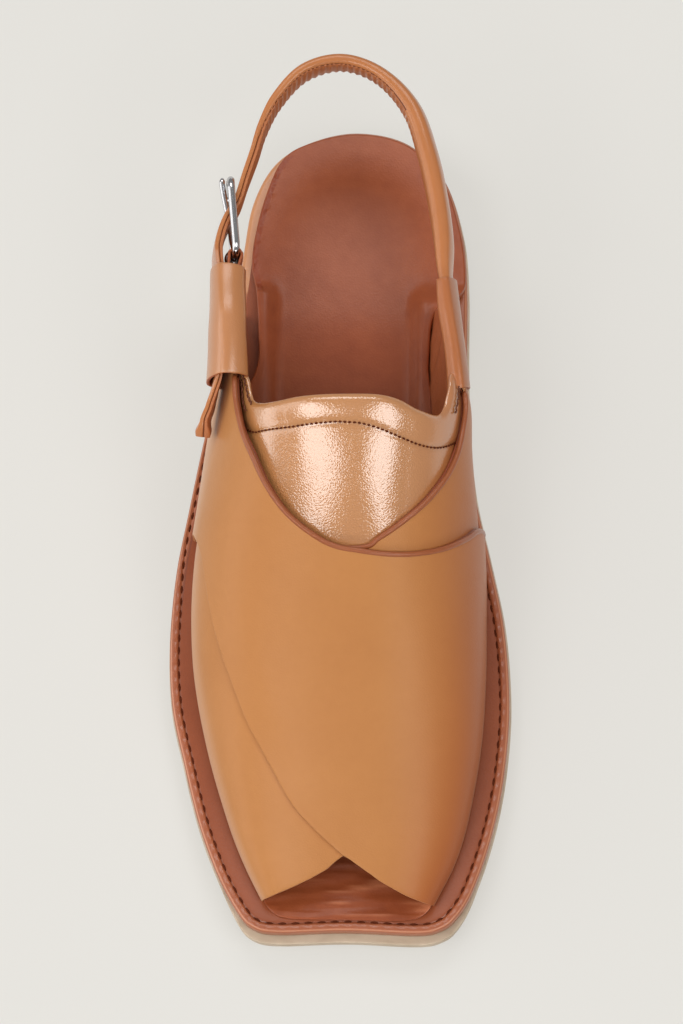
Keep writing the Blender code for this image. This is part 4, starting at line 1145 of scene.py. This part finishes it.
def rod_frames(points, closed=False):
    """Frames along a bent rod, kept from twisting."""
    frames = []
    aside = None
    for k, p in enumerate(points):
        before = points[k - 1] if closed or k else p
        after = points[(k + 1) % len(points)] if closed or k < len(points) - 1 else p
        ahead = (after - before).normalized()
        if aside is None:
            aside = ahead.orthogonal().normalized()
        aside = (aside - ahead * aside.dot(ahead)).normalized()
        frames.append((p, aside, ahead.cross(aside)))
    return frames


def rod(name, points, radius, closed, replaced):
    """A round rod along a line, its free ends rounded."""
    around = 20
    count = len(points) - 1

    def outline(i, k):
        turn = 2 * math.pi * k / around
        end = 1.0 if closed else min(1.0, (min(i, count - i) + 0.5) / 2.5) ** 0.5
        return radius * end * math.cos(turn), radius * end * math.sin(turn)

    bm = swept(rod_frames(points, closed), around, outline, closed)
    finished(name, bm, [NICKEL], replaced, 70)


def round_bar(radius, first, step):
    """Points round the front bar, with the first one's angle and the step between them in degrees."""
    turns = [math.radians(first + step * k) for k in range(BAR_STEPS + 1)]
    return [BUCKLE_FRONT + radius * (buckle_back * math.cos(t) + buckle_out * math.sin(t)) for t in turns]


buckle_middle = (BUCKLE_FRONT + BUCKLE_BACK) / 2
buckle_length = (BUCKLE_BACK - BUCKLE_FRONT).length
half_length = buckle_length / 2
ring = []
for quarter, (sx, sy) in enumerate(((1, 1), (-1, 1), (-1, -1), (1, -1))):
    for k in range(CORNER_STEPS + 1):
        turn = math.radians(90 * (quarter + k / CORNER_STEPS))
        u = sx * (half_length - BUCKLE_CORNER) + BUCKLE_CORNER * math.cos(turn)
        w = sy * (BUCKLE_HALF_HEIGHT - BUCKLE_CORNER) + BUCKLE_CORNER * math.sin(turn)
        bulge = BUCKLE_BULGE * eased((u + BULGE_START) / half_length)
        ring.append(buckle_middle + buckle_back * u + buckle_up * w + buckle_out * bulge)
rod("buckle_ring", evenly(ring, RING_STEPS, closed=True), ROD, True, ["buckle_frame"])

prong_line = round_bar(ROD + LAYER_GAP + PRONG, 205, -25)
prong_line += [
    BUCKLE_FRONT + buckle_back * (buckle_length * share) + buckle_out * rise for share, rise in PRONG_RISE
]
rod("buckle_tongue", evenly(through(prong_line, 6), PRONG_STEPS), PRONG, False, ["buckle_prong"])


def framed(line, ups):
    """Frames along a strip's middle line, each turned as its own upward direction tells."""
    frames = []
    for k, p in enumerate(line):
        ahead = (line[min(len(line) - 1, k + 1)] - line[max(0, k - 1)]).normalized()
        up = (ups[k] - ahead * ups[k].dot(ahead)).normalized()
        frames.append((p, ahead.cross(up), up))
    return frames


under_lift, over_lift = CHAPE_LIFTS
chape_points = [along_ear(OUTER_KEEPER, s, 0, under_lift) for s in CHAPE_LEG]
chape_points += round_bar(ROD + LAYER_GAP + CHAPE / 2, -100, 25)
chape_points += [along_ear(OUTER_KEEPER, s, 0, over_lift) for s in reversed(CHAPE_LEG)]
chape_line = evenly(through(chape_points, 5), CHAPE_STEPS)
chape_section = rounded_box(CHAPE / 2, CHAPE_HALF_WIDTH, CHAPE_CORNER, CHAPE_AROUND)
chape_frames = framed(chape_line, [buckle_up] * len(chape_line))
strip = swept(chape_frames, CHAPE_AROUND, lambda i, k: chape_section[k])
finished("buckle_strip", strip, [CUT_EDGE], ["buckle_chape"], 60)

# ---------------------------------------------------------------------------- heel strap
# A strap of tan leather from the inner keeper round the heel. It is filled and lined as far as the outer
# side, and goes on as a flat strip of two layers, through the buckle and under the outer keeper to its tip.

Strap = namedtuple("Strap", "x s z lean width thick filled lined")
# Lean is the inward lean of the upper edge in degrees. Filled and lined run from 0 to 1: filled is round, and
# lined shows the seam along the top with the lining inside it.
HEEL_STRAP = [
    Strap(36.9, 72, 66.0, 8, 13.0, 4.8, 0.8, 0), Strap(36.2, 60, 67.0, 5, 16.0, 6.9, 1, 0),
    Strap(34.2, 46, 68.6, 3, 16.0, 7.4, 1, 0), Strap(30.8, 30, 70.4, 5, 16.0, 7.4, 1, 0),
    Strap(25.1, 13.2, 71.8, 9, 16.0, 6.8, 1, 0.5), Strap(14.4, 0.8, 72.6, 14, 16.0, 5.6, 1, 1),
    Strap(1.0, -4.4, 73.0, 16, 16.0, 5.2, 1, 1), Strap(-12.2, -0.8, 72.8, 13, 16.0, 4.8, 1, 1),
    Strap(-21.4, 9.4, 72.2, 9, 15.0, 4.2, 0.8, 1), Strap(-26.2, 19.6, 71.4, 7, 13.6, 3.6, 0.3, 1),
    Strap(-28.9, 29.2, 70.8, 6, 13.0, 3.3, 0, 1), Strap(-32.0, 38.6, 69.6, 7, 13.0, 3.2, 0, 1),
    Strap(-34.6, 47.0, 68.7, 8, 13.0, 3.2, 0, 1), Strap(-38.2, 53.5, 68.0, 9, 13.0, 3.2, 0, 1),
    Strap(-40.3, 59.5, 67.4, 10, 13.0, 3.2, 0, 1), Strap(-41.0, 65.5, 66.6, 11, 13.0, 3.0, 0, 1),
]
BILLET_TIP = [
    Strap(-40.2, 103.0, 67.0, 13, 13.0, 2.6, 0, 1), Strap(-40.0, 109.0, 65.2, 10, 13.0, 2.6, 0, 1),
    Strap(-42.3, 116.5, 60.8, 7, 12.6, 2.8, 0, 1), Strap(-44.1, 121.0, 58.0, 6, 10.4, 3.2, 0, 1),
    Strap(-44.9, 124.0, 56.2, 6, 8.0, 5.4, 0, 1), Strap(-45.2, 125.8, 55.2, 6, 5.0, 5.0, 0, 1),
]
BILLET_LIFT, BILLET_WIDE, BILLET_THICK = 8.7, 13.0, 2.6
BILLET_HELD = ((76, 1), (85, 0), (94, 0))  # station and lined
INNER_END_LIFT, INNER_END_WIDE, INNER_END_THICK = 3.1, 12.0, 1.6
INNER_END_HELD = ((96, 0), (90, 0), (84, 0))
HEEL_CENTRE, BALL_CENTRE = Vector((3.8, 50)), Vector((3.8, 110))


def free(rows, centre):
    """Stations in the open, leaning towards a point inside the shoe."""
    made = []
    for r in rows:
        inward = (centre - Vector((r.x, r.s))).normalized()
        lean = math.radians(r.lean)
        up = Vector((inward.x * math.sin(lean), inward.y * math.sin(lean), math.cos(lean)))
        made.append((Vector((r.x, r.s, r.z)), up, (r.width, r.thick, r.filled), (r.lined, 0, 0)))
    return made


def held(rows, places, lift, width, thick):
    """Stations in a keeper."""
    made = []
    for s, lined in places:
        centre = along_ear(rows, s, 0, lift)
        up = (along_ear(rows, s, 4, lift) - centre).normalized()
        made.append((centre, up, (width, thick, 0), (lined, 0, 0)))
    return made


stations = held(INNER_KEEPER, INNER_END_HELD, INNER_END_LIFT, INNER_END_WIDE, INNER_END_THICK)
stations += free(HEEL_STRAP, HEEL_CENTRE)
stations += held(OUTER_KEEPER, BILLET_HELD, BILLET_LIFT, BILLET_WIDE, BILLET_THICK)
stations += free(BILLET_TIP, BALL_CENTRE)
STRAP_STEPS, STRAP_AROUND = 24, 44
RUFFLE_PITCH, RUFFLE, GROOVE, GROOVE_HALF = 2.6, 0.26, 0.5, 0.12
SEAM_FLAT, SEAM_FULL = 0.12, 0.6  # place of the seam across a flat and a filled strap, as a cosine round it
SEWN = (7.4, 12.2)  # the stations between which the seam shows its thread
SEAM_PITCH, SEAM_RISE, SEAM_STITCH = 1.9, 0.15, (1.1, 0.6, 0.5)
middles, ups, sizes, linings = (through(values, STRAP_STEPS) for values in zip(*stations))
strap_frames = framed(middles, ups)
walked = [0.0, 0.0]  # the length as far as the frame before each one
for p, q in zip(middles, middles[1:]):
    walked.append(walked[-1] + (q - p).length)


def seam_at(i):
    """Where the seam lies round the section at a frame, as a cosine."""
    return SEAM_FLAT + (SEAM_FULL - SEAM_FLAT) * eased(sizes[min(i, len(sizes) - 1)].z)


@lru_cache(maxsize=None)
def strap_section(i):
    """The section at a frame. Its first point faces inwards; the seam between the leather and its lining is a
    groove along the top and the bottom, and the lining is gathered where the strap is filled."""
    width, thick, filled = sizes[i]
    lined = max(0.0, min(1.0, linings[i].x))
    soft = thick / 2 * (0.42 + 0.56 * max(0.0, min(1.0, filled)))
    points = []
    for k, (inward, upward) in enumerate(rounded_box(thick / 2, width / 2, soft, STRAP_AROUND)):
        c = math.cos(2 * math.pi * k / STRAP_AROUND)
        groove = GROOVE * lined * bell((c - seam_at(i)) / GROOVE_HALF)
        gather = 0.0
        if c > seam_at(i) + GROOVE_HALF / 2:
            gather = RUFFLE * lined * filled * math.sin(2 * math.pi * walked[i] / RUFFLE_PITCH + 0.3 * k)
        points.append((inward + gather, upward - groove * (1 if upward > 0 else -1)))
    return points


def strap_finish(i, k):
    """The leather, then the lining, then the dark line of the seam between them."""
    this, after = (math.cos(2 * math.pi * j / STRAP_AROUND) - seam_at(i) for j in (k, k + 1))
    if linings[min(i, len(linings) - 1)].x < 0.45:
        return 0
    return 2 if this * after <= 0 else int(this > 0)


STRAP_TAN = leather(
    "strap_leather", (0.46, 0.170, 0.058), (0.40, 0.138, 0.046), 0.38, cell=2000.0, relief=0.012, coat=0.6,
    coat_rough=0.1, shine=0.15,
)
STRAP_LINING = leather(
    "strap_lining", (0.44, 0.150, 0.054), (0.36, 0.112, 0.039), 0.4, cell=1800.0, relief=0.03,
)
STRAP_SEAM = leather("strap_seam", (0.15, 0.040, 0.014), (0.11, 0.028, 0.010), 0.5, cell=1800.0, relief=0.03)
STRAP_THREAD = leather(
    "strap_thread", (0.40, 0.140, 0.052), (0.32, 0.105, 0.038), 0.5, cell=3000.0, relief=0.02,
)
strap = swept(strap_frames, STRAP_AROUND, lambda i, k: strap_section(i)[k], finish=strap_finish)
strap_finishes = [STRAP_TAN, STRAP_LINING, STRAP_SEAM]
finished("heel_strap_leather", strap, strap_finishes, ["heel_strap"], 60)

bm = bmesh.new()
first, last = (round(station * STRAP_STEPS) for station in SEWN)
mark = walked[first]
for i in range(first, last):
    if walked[i] < mark:
        continue
    mark += SEAM_PITCH
    centre, inward, up = strap_frames[i]
    seam = strap_section(i)[round(STRAP_AROUND * math.acos(seam_at(i)) / (2 * math.pi))]
    ahead = (middles[i + 1] - middles[i - 1]).normalized()
    stitch(bm, centre + up * (seam[1] + SEAM_RISE) + inward * seam[0], ahead, up, *SEAM_STITCH)
finished("strap_stitches", bm, [STRAP_THREAD])

# ---------------------------------------------------------------------------- floor and light
# The shoe stands on pale paper that glows a little, which keeps the shadow weak. Six soft panels light it:
# one at the left, two overhead, one behind, and two low ones at the left and in front.

FLOOR_HALF = 4.0
PAPER, PAPER_GLOW, GLOW = (0.25, 0.249, 0.243, 1.0), (1.0, 0.974, 0.912, 1.0), 0.49
LAMP_COLOUR, SURROUND = (1.0, 0.985, 0.96), 0.30

paper, tree, shader = new_finish("pale_paper")
plug(tree, shader, {
    "Base Color": PAPER, "Emission Color": PAPER_GLOW, "Emission Strength": GLOW, "Roughness": 0.95,
    "Specular IOR Level": 0.1,
})
bm = bmesh.new()
bmesh.ops.create_grid(bm, x_segments=1, y_segments=1, size=FLOOR_HALF)
mesh = bpy.data.meshes.new("floor")
bm.to_mesh(mesh)
bm.free()
mesh.materials.append(paper)
floor = bpy.data.objects.new("floor", mesh)
bpy.context.scene.collection.objects.link(floor)

world = bpy.data.worlds.new("studio")
world.use_nodes = True
background = world.node_tree.nodes["Background"]
plug(world.node_tree, background, {"Color": (*LAMP_COLOUR, 1.0), "Strength": SURROUND})
bpy.context.scene.world = world


def softbox(name, place, target, width, height, power):
    """A soft panel of light that faces its target."""
    data = bpy.data.lights.new(name, "AREA")
    data.shape = "RECTANGLE"
    data.size, data.size_y = width, height
    data.energy = power
    data.color = LAMP_COLOUR
    lamp = bpy.data.objects.new(name, data)
    bpy.context.scene.collection.objects.link(lamp)
    lamp.location = Vector(place)
    lamp.rotation_euler = (Vector(target) - lamp.location).to_track_quat("-Z", "Y").to_euler()


softbox("key_left", (-2.2, 0.2, 2.0), (0, 0, 0), 1.6, 1.8, 13.0)
softbox("overhead_left", (-0.60, -0.50, 1.25), (0, 0, 0.05), 0.74, 0.66, 6.5)
softbox("overhead_right", (0.73, -0.50, 1.25), (0, 0, 0.05), 0.84, 0.66, 7.6)
softbox("back_fill", (0.0, 1.0, 1.6), (0, 0.1, 0), 1.4, 0.6, 10.0)
softbox("low_left", (-1.5, -0.2, 0.34), (0, -0.05, 0.05), 1.6, 0.6, 7.0)
softbox("low_front", (0.1, -1.7, 0.60), (0, -0.1, 0.02), 1.3, 0.30, 5.0)
